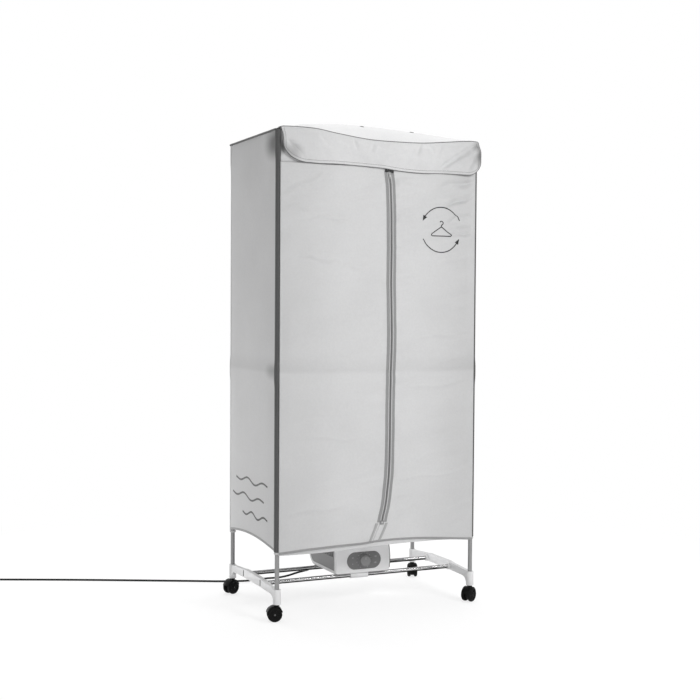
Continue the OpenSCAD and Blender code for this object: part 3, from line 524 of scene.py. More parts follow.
def cordLine():
    c = cordShape
    turn = math.radians(c["coilTurn"])
    ahead = Vector((-math.cos(turn), math.sin(turn), 0))
    side = Vector((-math.sin(turn), -math.cos(turn), 0))
    coilIn, glandEnd, d = Vector(c["coilIn"]), Vector(c["glandEnd"]), c["diameter"]
    route = [glandEnd, glandEnd + Vector((0, 5 * mm, -5 * mm))]
    route += [Vector(point) * mm for point in c["run"]] + [coilIn - 12 * mm * ahead, coilIn]
    middle = coilIn + d * ahead + c["coilRadius"] * side

    def coilAt(angle):
        return (middle - c["coilRadius"] * math.cos(angle) * side
                + c["coilRadius"] * math.sin(angle) * ahead
                + Vector((0, 0, c["pitch"] * angle / (2 * math.pi))))

    endAngle = 2 * math.pi * c["turns"]
    coilEnd = coilAt(endAngle)
    leave = math.sin(endAngle) * side + math.cos(endAngle) * ahead
    drop = Vector((0, 0, coilEnd.z - c["plugZ"]))
    line = smoothRoute(route, c["step"]) + [coilIn + 0.9 * d * ahead]
    line += [coilAt(2 * math.pi * k / c["coilSteps"]) for k in range(int(c["coilSteps"] * c["turns"]) + 1)]
    for k in range(1, c["exitSteps"] + 1):
        t = k / c["exitSteps"]
        line.append(coilEnd + c["exitLength"] * t * leave - drop * ease(t))
    line.append(coilEnd + (c["exitLength"] + d) * leave - drop)
    return line, leave


plugShape = {
    "neck": [(0, 0), (4.6, 0), (5.2, 1.5), (6.6, 3), (6.6, 4.4), (5.6, 5), (5.6, 6), (7, 6.6), (7, 8),
             (8.6, 9.5), (11.6, 11), (12.8, 13.5), (13, 17), (12.4, 22), (12.7, 30), (12.6, 33.6),
             (11.4, 35.6), (9.6, 36), (0, 36)],
    "pin": [(0, 36), (2.4, 36), (2.4, 45), (2.2, 45.4), (2.2, 53.4), (1.7, 54.6), (0.8, 55), (0, 55)],
    "pinApart": 19,
}


def addPlug(seat, leave):
    p = plugShape
    along = Vector((leave.x, leave.y, 0)).normalized()
    across = Vector((-along.y, along.x, 0))
    body = turned("plugBody", p["neck"], along, seat)
    settle(body, "cordRubber", "cabinet", 40, ["plug"], "cord_black")
    pins = []
    for side in (-1, 1):
        pins.append(turned("pin", p["pin"], along, seat + side * p["pinApart"] / 2 * mm * across, 20))
    pins = settle(joined("plugPins", pins), "chromePlate", "cabinet", 40)
    return [body, pins]


def addTie():
    # the strap round the two turns of the coil, where the frame has it
    tie = softCopy("cordTie", "cord_tie", 0.5 * mm)
    return settle(tie, "tieStrap", "cabinet", 40, ["cord_tie"], "tie_white")


glandShape = {
    "length": 20,
    "collar": [(0, -3), (5, -3), (5, 1), (7.6, 1), (7.8, 2.6), (6.6, 3.4)],
    "ribs": 6, "ribFrom": 4.2, "ribPitch": 2.5, "ribRadius": 6.2, "taper": 0.32,
    "rib": [(0, 0), (0, 1.1), (-0.9, 1.3), (-0.9, 2.2)],
    "end": [(4.3, 19.6), (3.9, 20), (0, 20)],
}


def addGland():
    # a ribbed, tapering strain relief that points down and back
    g = glandShape
    axis = Vector((0, 1, -1)).normalized()
    foot = Vector(cordShape["glandEnd"]) - g["length"] * mm * axis
    ribs = [(g["ribRadius"] - k * g["taper"] + out, g["ribFrom"] + k * g["ribPitch"] + up)
            for k in range(g["ribs"]) for out, up in g["rib"]]
    gland = turned("cordGland", g["collar"] + ribs + g["end"], axis, foot, 32)
    return settle(gland, "cordRubber", "cabinet", 40, ["cord_gland"], "cord_black")


def addCord():
    line, leave = cordLine()
    flex = settle(tubeAlong("powerCord", line, cordShape["diameter"] / 2, 3), "cordRubber", "cabinet",
                  None, ["cord", "cord_coil"], "cord_black")
    length = sum((b - a).length for a, b in zip(line, line[1:]))
    ends = addPlug(line[-1], leave) + [addTie()]
    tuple(cordShape["glandEnd"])
    [tuple(p) for p in line]
    addGland()
    print("cord laid,", round(length, 3), "m")


addCord()


# ---- cover ----

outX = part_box("corner_bindings")[1].x - 0.9 * mm       # outer face of the side panels
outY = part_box("front_surround")[0].y * -1              # outer face of the front and back panels
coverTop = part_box("top_piping")[1].z

coverShape = {
    "crown": 0.056,
    "slackLeft": 0.16,                      # the crown starts flat over this width at the left
    "backSag": 0.017,
    "frontEdge": [(-0.351, 1.5005), (-0.331, 1.507), (-0.227, 1.507), (-0.155, 1.497), (-0.042, 1.4845),
                  (0.05, 1.483), (0.145, 1.485), (0.230, 1.493), (0.315, 1.5015), (0.351, 1.5005)],
    "sideHem": (0.213, 0.021), "backHem": (0.213, 0.017),
    "sideCut": (0.412, 1.29), "backCut": (0.684, 1.29),
    "panelFoot": 0.21, "panelTop": 1.4985, "panelTall": 1.29,
    "topCorner": 11 * mm,
    "cloth": 1.2 * mm,
    "post": (0.340, 0.204),
    "hug": 9.0 * mm,               # radius of a corner where the cloth lies on the post
    "overJoint": 1.9 * mm,         # and how much more it is over a joint
    "joints": [(0.757, 0.034), (1.460, 0.045)],
}


def cornerRadius(z):
    c = coverShape
    swell = max(math.exp(-((z - at) / half) ** 4) for at, half in c["joints"])
    return c["hug"] + c["overJoint"] * max(swell, ease((z - 1.44) / 0.03))


def drawnIn(gap, z, reach=0.06):
    # how far a panel lies inside its plane, gap metres from the corner where it ends
    flat = outX - coverShape["post"][0]
    return (flat - cornerRadius(z)) * (1 - ease(gap / reach))


def roundCorner(x, y):
    # pulls a point of the top in to the rounded corner
    (px, py), radius = coverShape["post"], coverShape["topCorner"]
    past = Vector((max(0.0, abs(x) - px), max(0.0, abs(y) - py)))
    if past.x > 0 and past.y > 0 and past.length > radius:
        past *= radius / past.length
        return math.copysign(px + past.x, x), math.copysign(py + past.y, y)
    return x, y


def backEdge(x):
    return coverTop - coverShape["backSag"] * (1 - min(1, abs(x) / outX) ** 2) ** 2


def frontEdge(x):
    return smoothAt(coverShape["frontEdge"], x)


def topZ(x, y):
    c = coverShape
    edge = frontEdge(x) if y < 0 else backEdge(x)
    acrossX, acrossY = min(1, abs(x) / outX), min(1, abs(y) / outY)
    rise = c["crown"] * (1 - acrossX ** 2) ** 0.45 * (1 - acrossY ** 2) * ease((x + outX) / c["slackLeft"])
    inside = (1 - acrossX ** 4) * (1 - acrossY ** 4)
    folds = 2.2 * mm * ripple(x * 7, y * 5, 2.1) * inside + 1.0 * mm * ripple(x * 24, y * 9, 7.7) * inside
    return coverTop + (edge - coverTop) * acrossY ** 2 + rise + folds - 1.0 * mm * inside


def sideOut(y, z):
    # how far a side panel stands out from the seams, at a place on it
    c = coverShape
    u = (y / outY + 1) / 2
    v = (z - c["panelFoot"]) / c["panelTall"]
    hold = math.sin(math.pi * clamp(u))
    low, high = max(0.0, 1 - v / 0.06), max(0.0, (v - 0.93) / 0.07)
    hold *= 1 - 0.8 * max(low, high)
    soft = 1.7 * mm * math.sin(math.pi * v) + 0.9 * mm * (1 + math.sin(math.pi * (3 * v + 1.3 * u)))
    tension = 1.0 * mm * ripple(y * 5, z * 13, 4.2) + 0.35 * mm * ripple(y * 14, z * 46, 1.4)
    corner = 0.9 * mm * math.sin(60 * (y + z)) * max(0, 1 - Vector((0.2 - y, 1.49 - z)).length / 0.2)
    return max(0.15 * mm, (soft + tension + corner + 1.0 * mm) * hold)


def hemRise(share, hem):
    return hem[0] + hem[1] * math.sin(math.pi * clamp(share)) ** 0.8


def sidePoint(side, y, z):
    end = coverShape["post"][1]
    return Vector((side * (outX - 0.2 * mm + sideOut(side * y, z) - drawnIn(end - abs(y), z)), y, z))


def addSides():
    cut = coverShape["sideCut"]
    for side, name, node in ((-1, "coverLeft", "cover_left"), (1, "coverRight", "cover_right")):
        def place(u, v):
            y = side * (2 * u - 1) * coverShape["post"][1]
            low = hemRise(y / outY / 2 + 0.5, coverShape["sideHem"])
            return sidePoint(side, y, low + (coverShape["panelTop"] - low) * v)

        panel = clothSheet(name, 84, 240, place, cut, coverShape["cloth"])
        settle(panel, "coverCloth", "cabinet", None, [node], "cover_cloth")
        tape = hemTape(name + "Hem", place, 84, cut[0])
        settle(tape, "hemCloth", "cabinet", 50, [], "binding_cloth")
    print("sides hung")


hemShape = {"lift": 0.5 * mm, "swell": 0.5 * mm, "below": 0.6 * mm, "thick": 0.6 * mm, "step": 0.004}


def hemTape(name, panelPlace, across, length, width=0.0075, panelLength=1.28):
    # a folded tape along the lower edge of a panel, just proud of it
    h = hemShape

    def place(u, v):
        up = v * width / panelLength
        beside = panelPlace(min(1, u + h["step"]), up) - panelPlace(max(0, u - h["step"]), up)
        out = beside.cross(panelPlace(u, 0.02) - panelPlace(u, 0)).normalized()
        lift = h["lift"] + h["swell"] * math.sin(math.pi * v)
        return panelPlace(u, up) + out * lift - Vector((0, 0, h["below"]))

    return clothSheet(name, across, 4, place, (length, width), h["thick"])


def addBack():
    cut = coverShape["backCut"]
    end = coverShape["post"][0]

    def place(u, v):
        x = (1 - 2 * u) * end
        low = hemRise(x / outX / 2 + 0.5, coverShape["backHem"])
        z = low + (backEdge(x) - 1.5 * mm - low) * v
        hold = math.sin(math.pi * u)
        out = (2.4 * mm * math.sin(math.pi * v) + 1.1 * mm * ripple(x * 4, z * 10, 8.3)
               + 0.4 * mm * ripple(x * 12, z * 40, 5.1) + 0.8 * mm) * hold
        return Vector((x, outY - 0.2 * mm + max(0.1 * mm, out) - drawnIn(end - abs(x), z), z))

    panel = clothSheet("coverBack", 120, 220, place, cut, coverShape["cloth"])
    settle(panel, "coverCloth", "cabinet", None, ["cover_back"], "cover_cloth")
    tape = settle(hemTape("coverBackHem", place, 100, cut[0]), "hemCloth", "cabinet", 50, [],
                  "binding_cloth")
    print("back hung")


def addTop():
    def place(u, v):
        x, y = roundCorner((2 * u - 1) * outX, (2 * v - 1) * outY)
        return Vector((x, y, topZ(x, y)))

    panel = clothSheet("coverTop", 150, 96, place, (0.72, 0.45), coverShape["cloth"])
    settle(panel, "topCloth", "cabinet", None, ["cover_top"], "cover_cloth")
    vents = addVents()
    print("top stretched")


ventShape = {
    "places": [(-0.012, -0.095), (0.168, -0.095)],
    "profile": [(3.0, -0.6), (2.9, 0.5), (3.6, 1.2), (5.0, 1.4), (6.4, 1.0), (7.0, 0.1), (6.9, -0.8)],
    "mesh": [(0, 0.7), (3.1, 0.5)],
}


def addVents():
    # two bound holes in the top that let warm air out
    rims = []
    for k, (x, y) in enumerate(ventShape["places"]):
        step = 0.01
        normal = Vector((topZ(x - step, y) - topZ(x + step, y), topZ(x, y - step) - topZ(x, y + step),
                         2 * step)).normalized()
        seat = Vector((x, y, topZ(x, y)))
        rim = turned("ventRim", ventShape["profile"], normal, seat, 32)
        apply(rim, "SOLIDIFY", thickness=0.5 * mm, offset=-1)
        mesh = turned("ventMesh", ventShape["mesh"], normal, seat, 24)
        rims.append(settle(joined("vent" + "AB"[k], [rim, mesh]), "bindingCloth", "cabinet", 50, [],
                           "binding_cloth"))
    return rims


bindingShape = {
    "low": 0.2135, "high": 1.4985,
    "lift": 0.5 * mm,
    # width on the side and on the front, past the rounded corner
    "legs": {(-1, -1): (2.6 * mm, 2.6 * mm), (1, -1): (3.0 * mm, 1.4 * mm),
             (-1, 1): (4.0 * mm, 4.0 * mm), (1, 1): (4.0 * mm, 4.0 * mm)},
}


def cornerStrip(name, corner):
    # a strip bent round one corner post, from the side panel to the front or back panel
    b = bindingShape
    sideLeg, frontLeg = b["legs"][corner]
    px, py = coverShape["post"]

    def place(u, v):
        z = b["low"] + (b["high"] - b["low"]) * v
        radius = cornerRadius(z) + b["lift"] + 0.3 * mm * math.sin(math.pi * u)
        bend = radius * math.pi / 2
        frayed = 1 + 0.08 * ripple(z * 22, corner[0] * 3, corner[1])
        run = -sideLeg * frayed + u * (bend + (sideLeg + frontLeg) * frayed)
        angle = max(0.0, min(math.pi / 2, run / radius))
        x = radius * math.cos(angle) - max(0.0, run - bend)
        y = radius * math.sin(angle) + min(0.0, run)
        return Vector((corner[0] * (px + x), corner[1] * (py + y), z))

    strip = clothSheet(name, 18, 170, place, (0.020, 1.285), 0.8 * mm, 0)
    edited(strip, faceOut)
    return strip


def addBindings():
    # dark at the front, the cover's own cloth at the back
    for name, sideY, cloth, slotName in (("frontBindings", -1, "bindingCloth", "binding_cloth"),
                                         ("backCorners", 1, "coverCloth", "cover_cloth")):
        strips = [cornerStrip("strip", (sideX, sideY)) for sideX in (-1, 1)]
        settle(joined(name, strips), cloth, "cabinet", 60, ["corner_bindings"], slotName)
    print("corners bound")


pipingShape = {"side": 3.1 * mm, "front": 1.8 * mm, "bend": 12 * mm}


def addPiping():
    # one cord round both sides and the back, and a thinner one over the flap's seam
    p = pipingShape
    px, py = coverShape["post"]
    bend = p["bend"]
    along = [py * (1 - 2 * k / 36) for k in range(37)]
    across = [px * (2 * k / 60 - 1) for k in range(61)]
    turns = [(bend * math.sin(a), bend * math.cos(a)) for a in [math.pi / 2 * k / 8 for k in range(1, 8)]]
    path = [Vector((-px - bend, -y, coverTop)) for y in along]
    path += [Vector((-px - far, py + near, coverTop)) for near, far in turns]
    path += [Vector((x, py + bend, backEdge(x))) for x in across]
    path += [Vector((px + near, py + far, coverTop)) for near, far in turns]
    path += [Vector((px + bend, y, coverTop)) for y in along]
    for k, point in enumerate(path):
        point.z += 0.5 * mm * ripple(k * 0.3, 1, 0) - p["side"] + 0.6 * mm
    settle(tubeAlong("topPiping", path, p["side"], 3), "bindingCloth", "cabinet", 60, ["top_piping"],
           "binding_cloth")
    front = [Vector((x, -outY - 1.0 * mm, frontEdge(x) - 0.4 * mm))
             for x in [(px + 6 * mm) * (2 * k / 90 - 1) for k in range(91)]]
    settle(tubeAlong("frontPiping", front, p["front"], 2), "pipingCloth", "cabinet", 60, [],
           "binding_cloth")


addSides()
addBack()
addTop()
addBindings()
addPiping()


# ---- front: fixed strips, two door panels, zip, flap ----

doorShape = {
    "faceY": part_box("door_left")[0].y + 4.2 * mm,        # outer face of the door cloth at the seams
    "edgeX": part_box("door_right")[1].x,
    "topZ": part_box("door_left")[1].z,
    "hem": [(-0.340, 0.207), (-0.267, 0.2125), (-0.147, 0.2165), (-0.059, 0.2185), (0.0, 0.2225),
            (0.059, 0.2235), (0.150, 0.221), (0.226, 0.2155), (0.328, 0.2065), (0.340, 0.2055)],
    "zipLine": [(0.200, -0.0260), (0.232, -0.0128), (0.262, 0.0012), (0.280, 0.0085), (0.303, 0.0130),
                (0.337, 0.0215), (0.400, 0.0285), (0.446, 0.0315), (0.543, 0.0335), (0.700, 0.0360),
                (0.891, 0.0365), (1.060, 0.0352), (1.156, 0.0358), (1.219, 0.0356), (1.281, 0.0344),
                (1.313, 0.0322), (1.344, 0.0300), (1.375, 0.0265), (1.392, 0.0252)],
    "zipEnd": 0.284, "zipTop": 1.39,
    "tall": 1.18,
    # how deep the cloth's waves are: broad ones, those drawn across to the zip, and fine ones
    "swell": 2.2 * mm, "broad": 5.0 * mm, "across": 6.5 * mm, "fine": 2.0 * mm, "streakGain": 1.7,
    "railZ": 0.757, "railDent": 1.6 * mm, "proud": 1.6 * mm,
    "clothTop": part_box("door_left")[1].z + 12 * mm,      # the cloth goes on up under the flap
    # soft ridges: from x, z to x, z, then height and half width in millimetres
    "streaks": [(-0.32, 1.305, -0.19, 1.372, 2.6, 9), (-0.22, 1.232, -0.10, 1.240, 2.4, 6),
                (-0.10, 1.216, 0.01, 1.221, 1.9, 5), (-0.27, 1.118, -0.16, 1.106, 2.2, 6),
                (-0.13, 1.084, -0.05, 1.090, 1.2, 5), (-0.31, 1.262, -0.22, 1.270, 1.8, 7),
                (0.22, 1.352, 0.33, 1.372, 4.4, 8), (0.24, 1.292, 0.33, 1.325, 4.4, 7),
                (0.25, 1.245, 0.33, 1.270, 3.8, 6), (0.25, 1.196, 0.33, 1.208, 3.0, 6),
                (0.15, 0.870, 0.30, 0.882, 1.4, 6), (0.08, 0.705, 0.28, 0.722, 1.6, 7),
                (0.06, 1.355, 0.15, 1.362, 1.6, 8), (-0.24, 0.560, -0.08, 0.552, 1.3, 8),
                (0.10, 0.420, 0.28, 0.432, 1.3, 8), (-0.30, 0.330, -0.12, 0.345, 1.6, 9)],
    "upright": (0.222, 15 * mm, 13 * mm),   # its foot, its width, and how far it ends below the doors
    "bandLow": [(-0.351, 0.2035), (-0.317, 0.2022), (-0.233, 0.2015), (-0.147, 0.2030), (-0.05, 0.2075),
                (0.059, 0.2110), (0.150, 0.2120), (0.247, 0.2110), (0.330, 0.2045), (0.351, 0.2030)],
}


def zipX(z):
    return smoothAt(doorShape["zipLine"], z)


def doorLow(x):
    return smoothAt(doorShape["hem"], x)


def doorOut(x, z):
    # how far the front cloth stands out from the seam plane
    d = doorShape
    fromZip = abs(x - zipX(min(z, d["zipTop"])))
    hold = ease((d["edgeX"] - abs(x)) / 0.035)
    nearZip = math.exp(-fromZip / 0.045)
    stiff = ease((fromZip - 0.012) / 0.022)
    nearEdge = ease((x - 0.17) / 0.13)
    upper = math.exp(-((z - 1.28) / 0.12) ** 2)
    v = (z - coverShape["panelFoot"]) / d["tall"]
    swell = d["swell"] * math.sin(math.pi * clamp(v)) * (1 - 0.6 * nearZip)
    broad = d["broad"] * ripple(x * 3.4 + 1.5 * z, z * 5.2, 9.1)
    pull = 0.24 + 0.8 * nearZip + (0.35 + 1.9 * upper) * nearEdge + 0.6 * upper
    across = d["across"] * ripple(x * 5 + 2.5 * z, (z - 0.3 * x) * 31, 2.7) * pull
    fine = d["fine"] * ripple(x * 12, (z - 0.2 * x) * 66, 6.3) * pull
    rail = -d["railDent"] * math.exp(-((z - d["railZ"]) / 0.010) ** 2)
    streaks = d["streakGain"] * sum(streakAt(x, z, *streak) for streak in d["streaks"])
    wrinkles = (across + fine + streaks) * (0.12 + 0.88 * stiff)
    below = ease((d["topZ"] - 6 * mm - z) / 0.02)
    return ((swell + broad + rail + wrinkles) * below + d["proud"]) * hold


def streakAt(x, z, x0, z0, x1, z1, height, half):
    # a long soft ridge in the cloth, pulled from one place to another
    t = (x - x0) / (x1 - x0)
    if not -0.3 < t < 1.3:
        return 0.0
    line = z0 + (z1 - z0) * t + 4 * mm * math.sin(7 * t)
    swell = height * mm * math.exp(-((z - line) / (half * mm)) ** 2)
    return swell * ease((t + 0.3) / 0.5) * ease((1.3 - t) / 0.5)


def doorPoint(x, z, lift=0.0):
    return Vector((x, doorShape["faceY"] - max(0.0, doorOut(x, z)) - lift, z))


slitHalf = [(0.200, 0.0004), (0.272, 0.0004), (0.290, 0.0020), (1.400, 0.0020)]


def zipEdge(z, side):
    return zipX(z) + side * smoothAt(slitHalf, z)


def addDoors():
    d = doorShape
    for side, name, node, body in ((-1, "doorLeft", "door_left", "left_door"),
                                   (1, "doorRight", "door_right", "right_door")):
        def place(u, v):
            zRough = 0.208 + (d["clothTop"] - 0.208) * v
            if side < 0:
                left, right = -d["edgeX"], zipEdge(zRough, -1)
            else:
                left, right = zipEdge(zRough, 1), d["edgeX"]
            x = left + (right - left) * u
            low = doorLow(x)
            return doorPoint(x, low + (d["clothTop"] - low) * v)

        panel = clothSheet(name, 100, 340, place, (0.36, 1.18), coverShape["cloth"])
        tape = hemTape(name + "Hem", place, 80, 0.36, 0.0065, 1.17)
        fold = slitFold(name + "Fold", side)
        settle(panel, "coverCloth", None, None, [node], "cover_cloth")
        settle(tape, "hemCloth", None, 50, [], "binding_cloth")
        settle(fold, "foldCloth", body, 50, [], "cover_cloth")
        for piece in (panel, tape):
            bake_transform(piece)
    print("doors hung")


foldShape = {"inner": [(0.21, 8.5 * mm), (0.235, 11.5 * mm), (0.28, 12.8 * mm)], "width": 9.0 * mm}


def slitFold(name, side):
    # the stitched fold beside the slit, from the hem up to the zip's end stop; its darker grey is painted
    # shade of the fold
    f = foldShape

    def place(u, v):
        z = doorLow(zipX(0.22)) + 5 * mm + (doorShape["zipEnd"] - 3 * mm - doorLow(zipX(0.22)) - 5 * mm) * v
        share = u if side > 0 else 1 - u
        x = zipX(z) + side * (smoothAt(f["inner"], z) + share * f["width"])
        return doorPoint(x, z, 1.0 * mm + 0.7 * mm * math.sin(math.pi * u))

    return clothSheet(name, 6, 24, place, (0.005, 0.06), 0.4 * mm)


def addSurround():
    # four strips round the opening: header behind the flap, two uprights, and the foot band
    d = doorShape
    end = coverShape["post"][0]

    def onFront(x, z, lift=0.0):
        return Vector((x, -outY - lift + drawnIn(end - abs(x), z, 0.022), z))

    def header(u, v):
        x = (2 * u - 1) * end
        low = d["topZ"] - 12 * mm
        z = low + (frontEdge(x) - 1.2 * mm - low) * v
        return onFront(x, z, -2.2 * mm * ease((d["clothTop"] + 10 * mm - z) / 0.010))

    def upright(side):
        low, wide, short = d["upright"]

        def place(u, v):
            share = 1 - u if side > 0 else u
            return onFront(side * (end - wide * share), low + (d["topZ"] - short - low) * v)

        return place

    def foot(u, v):
        x = (2 * u - 1) * end
        low = smoothAt(d["bandLow"], x)
        high = doorLow(clamp(x, -0.34, 0.34)) + 8 * mm
        return onFront(x, low + (high - low) * v, 0.3 * mm * math.sin(math.pi * v))

    strips = [("frontHeader", 80, 12, header, (0.682, 0.130)),
              ("frontUprightLeft", 6, 90, upright(-1), (0.016, 1.155)),
              ("frontUprightRight", 6, 90, upright(1), (0.016, 1.155)),
              ("frontFoot", 90, 6, foot, (0.682, 0.030))]
    for name, across, along, place, cut in strips:
        strip = clothSheet(name, across, along, place, cut, 1.0 * mm)
        settle(strip, "coverCloth", "cabinet", 50, ["front_surround"], "cover_cloth")
    print("front strips sewn")


zipShape = {
    # how far the tape and its thick inner edge reach from the middle line, and stand out
    "tape": (0.4 * mm, 16.5 * mm), "tapeLift": 0.75 * mm,
    "ridge": (3.4 * mm, 6.8 * mm), "ridgeLift": 1.05 * mm,
    "tooth": (2.6 * mm, 1.5 * mm, 1.3 * mm), "toothPitch": 2.6 * mm,
    "toothAt": 1.5 * mm, "toothLift": 1.6 * mm,
    "leftTop": 1.3885,
    "stop": (13 * mm, 13 * mm, 3.0 * mm),
    "barTilt": 6,                           # degrees, along the flap's edge
    "barDrop": 9 * mm,
    "tab": (14.5 * mm, 1.4 * mm, 8.5 * mm),
    "tabZ": 1.3895,
}


def zipStrip(name, side, low, high, inner, outer, lift, across, sink=0.0):
    # a strip beside the zip's middle line
    def place(u, v):
        z = low + (high - low) * v
        share = u if side > 0 else 1 - u
        x = zipX(z) + side * (inner + share * (outer - inner))
        wave = 0.15 * mm * ripple(x * 60, z * 40, side)
        return doorPoint(x, z, lift - sink * math.sin(math.pi * share) + wave)

    return clothSheet(name, across, 260, place, (outer - inner, high - low), 0.5 * mm)


def addZip():
    t = zipShape
    z0 = doorShape["zipEnd"]
    for side, name, node, body, high in (
            (-1, "zipTapeLeft", "zip_tape_left", "left_door", t["leftTop"]),
            (1, "zipTapeRight", "zip_tape_right", "right_door", doorShape["topZ"])):
        tape = zipStrip(name, side, z0, high, *t["tape"], t["tapeLift"], 8, 0.5 * mm)
        settle(tape, "zipCloth", body, 50, [node], "zip_tape")
        ridge = zipStrip(name + "Ridge", side, z0 + 4 * mm, high, *t["ridge"], t["ridgeLift"], 4, -0.5 * mm)
        settle(ridge, "zipRidge", body, 60, [], "zip_tape")
        tooth = lump("tooth", t["tooth"])
        places = []
        for k in range(int((high - z0) / t["toothPitch"])):
            z = z0 + (k + (0.5 if side > 0 else 0.0)) * t["toothPitch"]
            slope = (zipX(z + mm) - zipX(z - mm)) / (2 * mm)
            seat = doorPoint(zipX(z) + side * t["toothAt"], z, t["toothLift"])
            places.append(Matrix.Translation(seat) @ Matrix.Rotation(math.atan(slope), 4, "Y"))
        settle(repeated(name + "Coil", tooth, places), "zipCoil", body, 30)
    for side, name, body in ((-1, "zipTabLeft", "left_door"), (1, "zipTabRight", "right_door")):
        # the dark ends of the tapes, just below the flap's edge
        tab = lump(name, t["tab"])
        soften(tab, 0.3 * mm, 2)
        x = zipX(t["tabZ"]) + side * (0.5 * t["tab"][0] + 0.25 * mm)
        z = t["tabZ"] - side * 0.5 * t["tab"][0] * math.sin(math.radians(t["barTilt"]))
        tab.data.transform(Matrix.Translation(doorPoint(x, z, 2.3 * mm))
                           @ Matrix.Rotation(math.radians(t["barTilt"]), 4, "Y"))
        settle(tab, "darkTab", body, 40)
    wide, tall, deep = t["stop"]
    for name, share, lift, finish in (("zipStop", 1.0, 1.4 * mm, "stopPlastic"),
                                      ("zipStopInset", 0.42, 2.2 * mm, "stopInset")):
        stop = lump(name, (wide * share, deep, tall * share))
        soften(stop, 1.2 * mm, 3)
        stop.location = doorPoint(zipX(z0), z0 - 1 * mm, lift)
        settle(stop, finish, "right_door", 40)
    settle(softCopy("zipSlider", "zip_slider", 0.35 * mm), "sliderMetal", "slider", 35, ["zip_slider"],
           "zip_metal")
    settle(softCopy("zipPull", "zip_pull", 0.4 * mm), "pullMetal", "pull", 35, ["zip_pull"], "zip_metal")
    low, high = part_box("zip_top_bar")
    bar = block("zipTopBar", (low.x, low.y - 2.0 * mm, low.z - t["barDrop"]), (high.x, high.y, high.z))
    soften(bar, 0.3 * mm, 2)
    tilt = Matrix.Rotation(math.radians(t["barTilt"]), 4, "Y")
    middle = Matrix.Translation((low + high) / 2)
    bar.data.transform(middle @ tilt @ middle.inverted())
    settle(bar, "darkTab", "cabinet", 40, ["zip_top_bar"], "zip_metal")
    print("zip sewn")


flapShape = {
    "backY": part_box("front_flap")[1].y,
    "endLeft": -0.3340,
    "endRight": 0.3455,
    "bulgeRight": 6.5 * mm,
    "low": [(-0.334, 1.4020), (-0.250, 1.4018), (-0.212, 1.4008), (-0.159, 1.4020), (-0.100, 1.4012),
            (-0.043, 1.3992), (0.002, 1.3972), (0.044, 1.3930), (0.097, 1.3896), (0.151, 1.3890),
            (0.205, 1.3912), (0.242, 1.3917), (0.312, 1.3911), (0.352, 1.3930)],
    "cornerLeft": (0.084, 0.060), "cornerRight": (0.038, 0.040),
    "drop": 0.105,
    "piping": 1.15 * mm, "stitchIn": 0.0085, "stitchPitch": 3.4 * mm,
    "wave": 4.6 * mm, "belly": 4.2 * mm, "curl": 9.0 * mm,
    "crumple": (6.5 * mm, 2.6 * mm), "creaseGain": 1.5,
    # creases: from, to, then in millimetres depth, half width, and how far the cloth beyond stands out
    "creases": [((0.340, 1.490), (0.210, 1.409), 5.6, 8, 4.2), ((0.334, 1.476), (0.290, 1.450), 2, 3.5, 1.6),
                ((0.141, 1.484), (0.118, 1.445), 2.4, 5, 1.6), ((0.165, 1.484), (0.182, 1.452), 1.8, 5, 1.4),
                ((-0.098, 1.492), (-0.088, 1.452), 2, 5, 1.2), ((-0.215, 1.500), (-0.185, 1.462), 1.4, 6, 1),
                ((-0.025, 1.474), (-0.045, 1.440), 1.6, 6, 1.2), ((0.212, 1.480), (0.196, 1.446), 1.4, 5, 1),
                ((-0.322, 1.470), (-0.262, 1.418), 2.4, 6, 1.8), ((0.330, 1.447), (0.304, 1.402), 2.4, 6, 2)],
}


def flapEnd(side, z):
    # the right end hangs loose and bulges sideways
    f = flapShape
    if side < 0:
        return f["endLeft"] - 4.0 * mm * ease((z - 1.484) / 0.02)
    return f["endRight"] + f["bulgeRight"] * math.sin(math.pi * clamp((1.512 - z) / 0.125)) ** 0.9


def flapTop(x):
    # the sewn edge of the top, no further than its ends
    return frontEdge(clamp(x, -0.351, 0.351))


def flapLow(x):
    f = flapShape
    z = smoothAt(f["low"], clamp(x, f["low"][0][0], f["low"][-1][0]))
    corners = ((-1, f["endLeft"], f["cornerLeft"]), (1, f["endRight"], f["cornerRight"]))
    for side, end, (wide, tall) in corners:
        reach = side * (x - end) + wide
        if reach > 0:
            share = min(1, reach / wide)
            z += tall * (1 - math.sqrt(max(0, 1 - share ** 2)))
    return z


def creaseAt(x, z, start, end, depth, half, step):
    # a valley along a line, with the cloth below it standing out
    ax, az = x - start[0], z - start[1]
    dx, dz = end[0] - start[0], end[1] - start[1]
    length = math.hypot(dx, dz)
    along = (ax * dx + az * dz) / length
    below = math.copysign((az * dx - ax * dz) / length, (az * dx - ax * dz) * -dx)
    inside = ease((along + 0.008) / 0.02) * ease((length + 0.010 - along) / 0.03)
    depth, half, step = depth * mm, half * mm, step * mm
    valley = -depth * math.exp(-(below / half) ** 2)
    ridge = step * math.exp(-((below - 2.2 * half) / (1.6 * half)) ** 2)
    return (valley + ridge) * inside


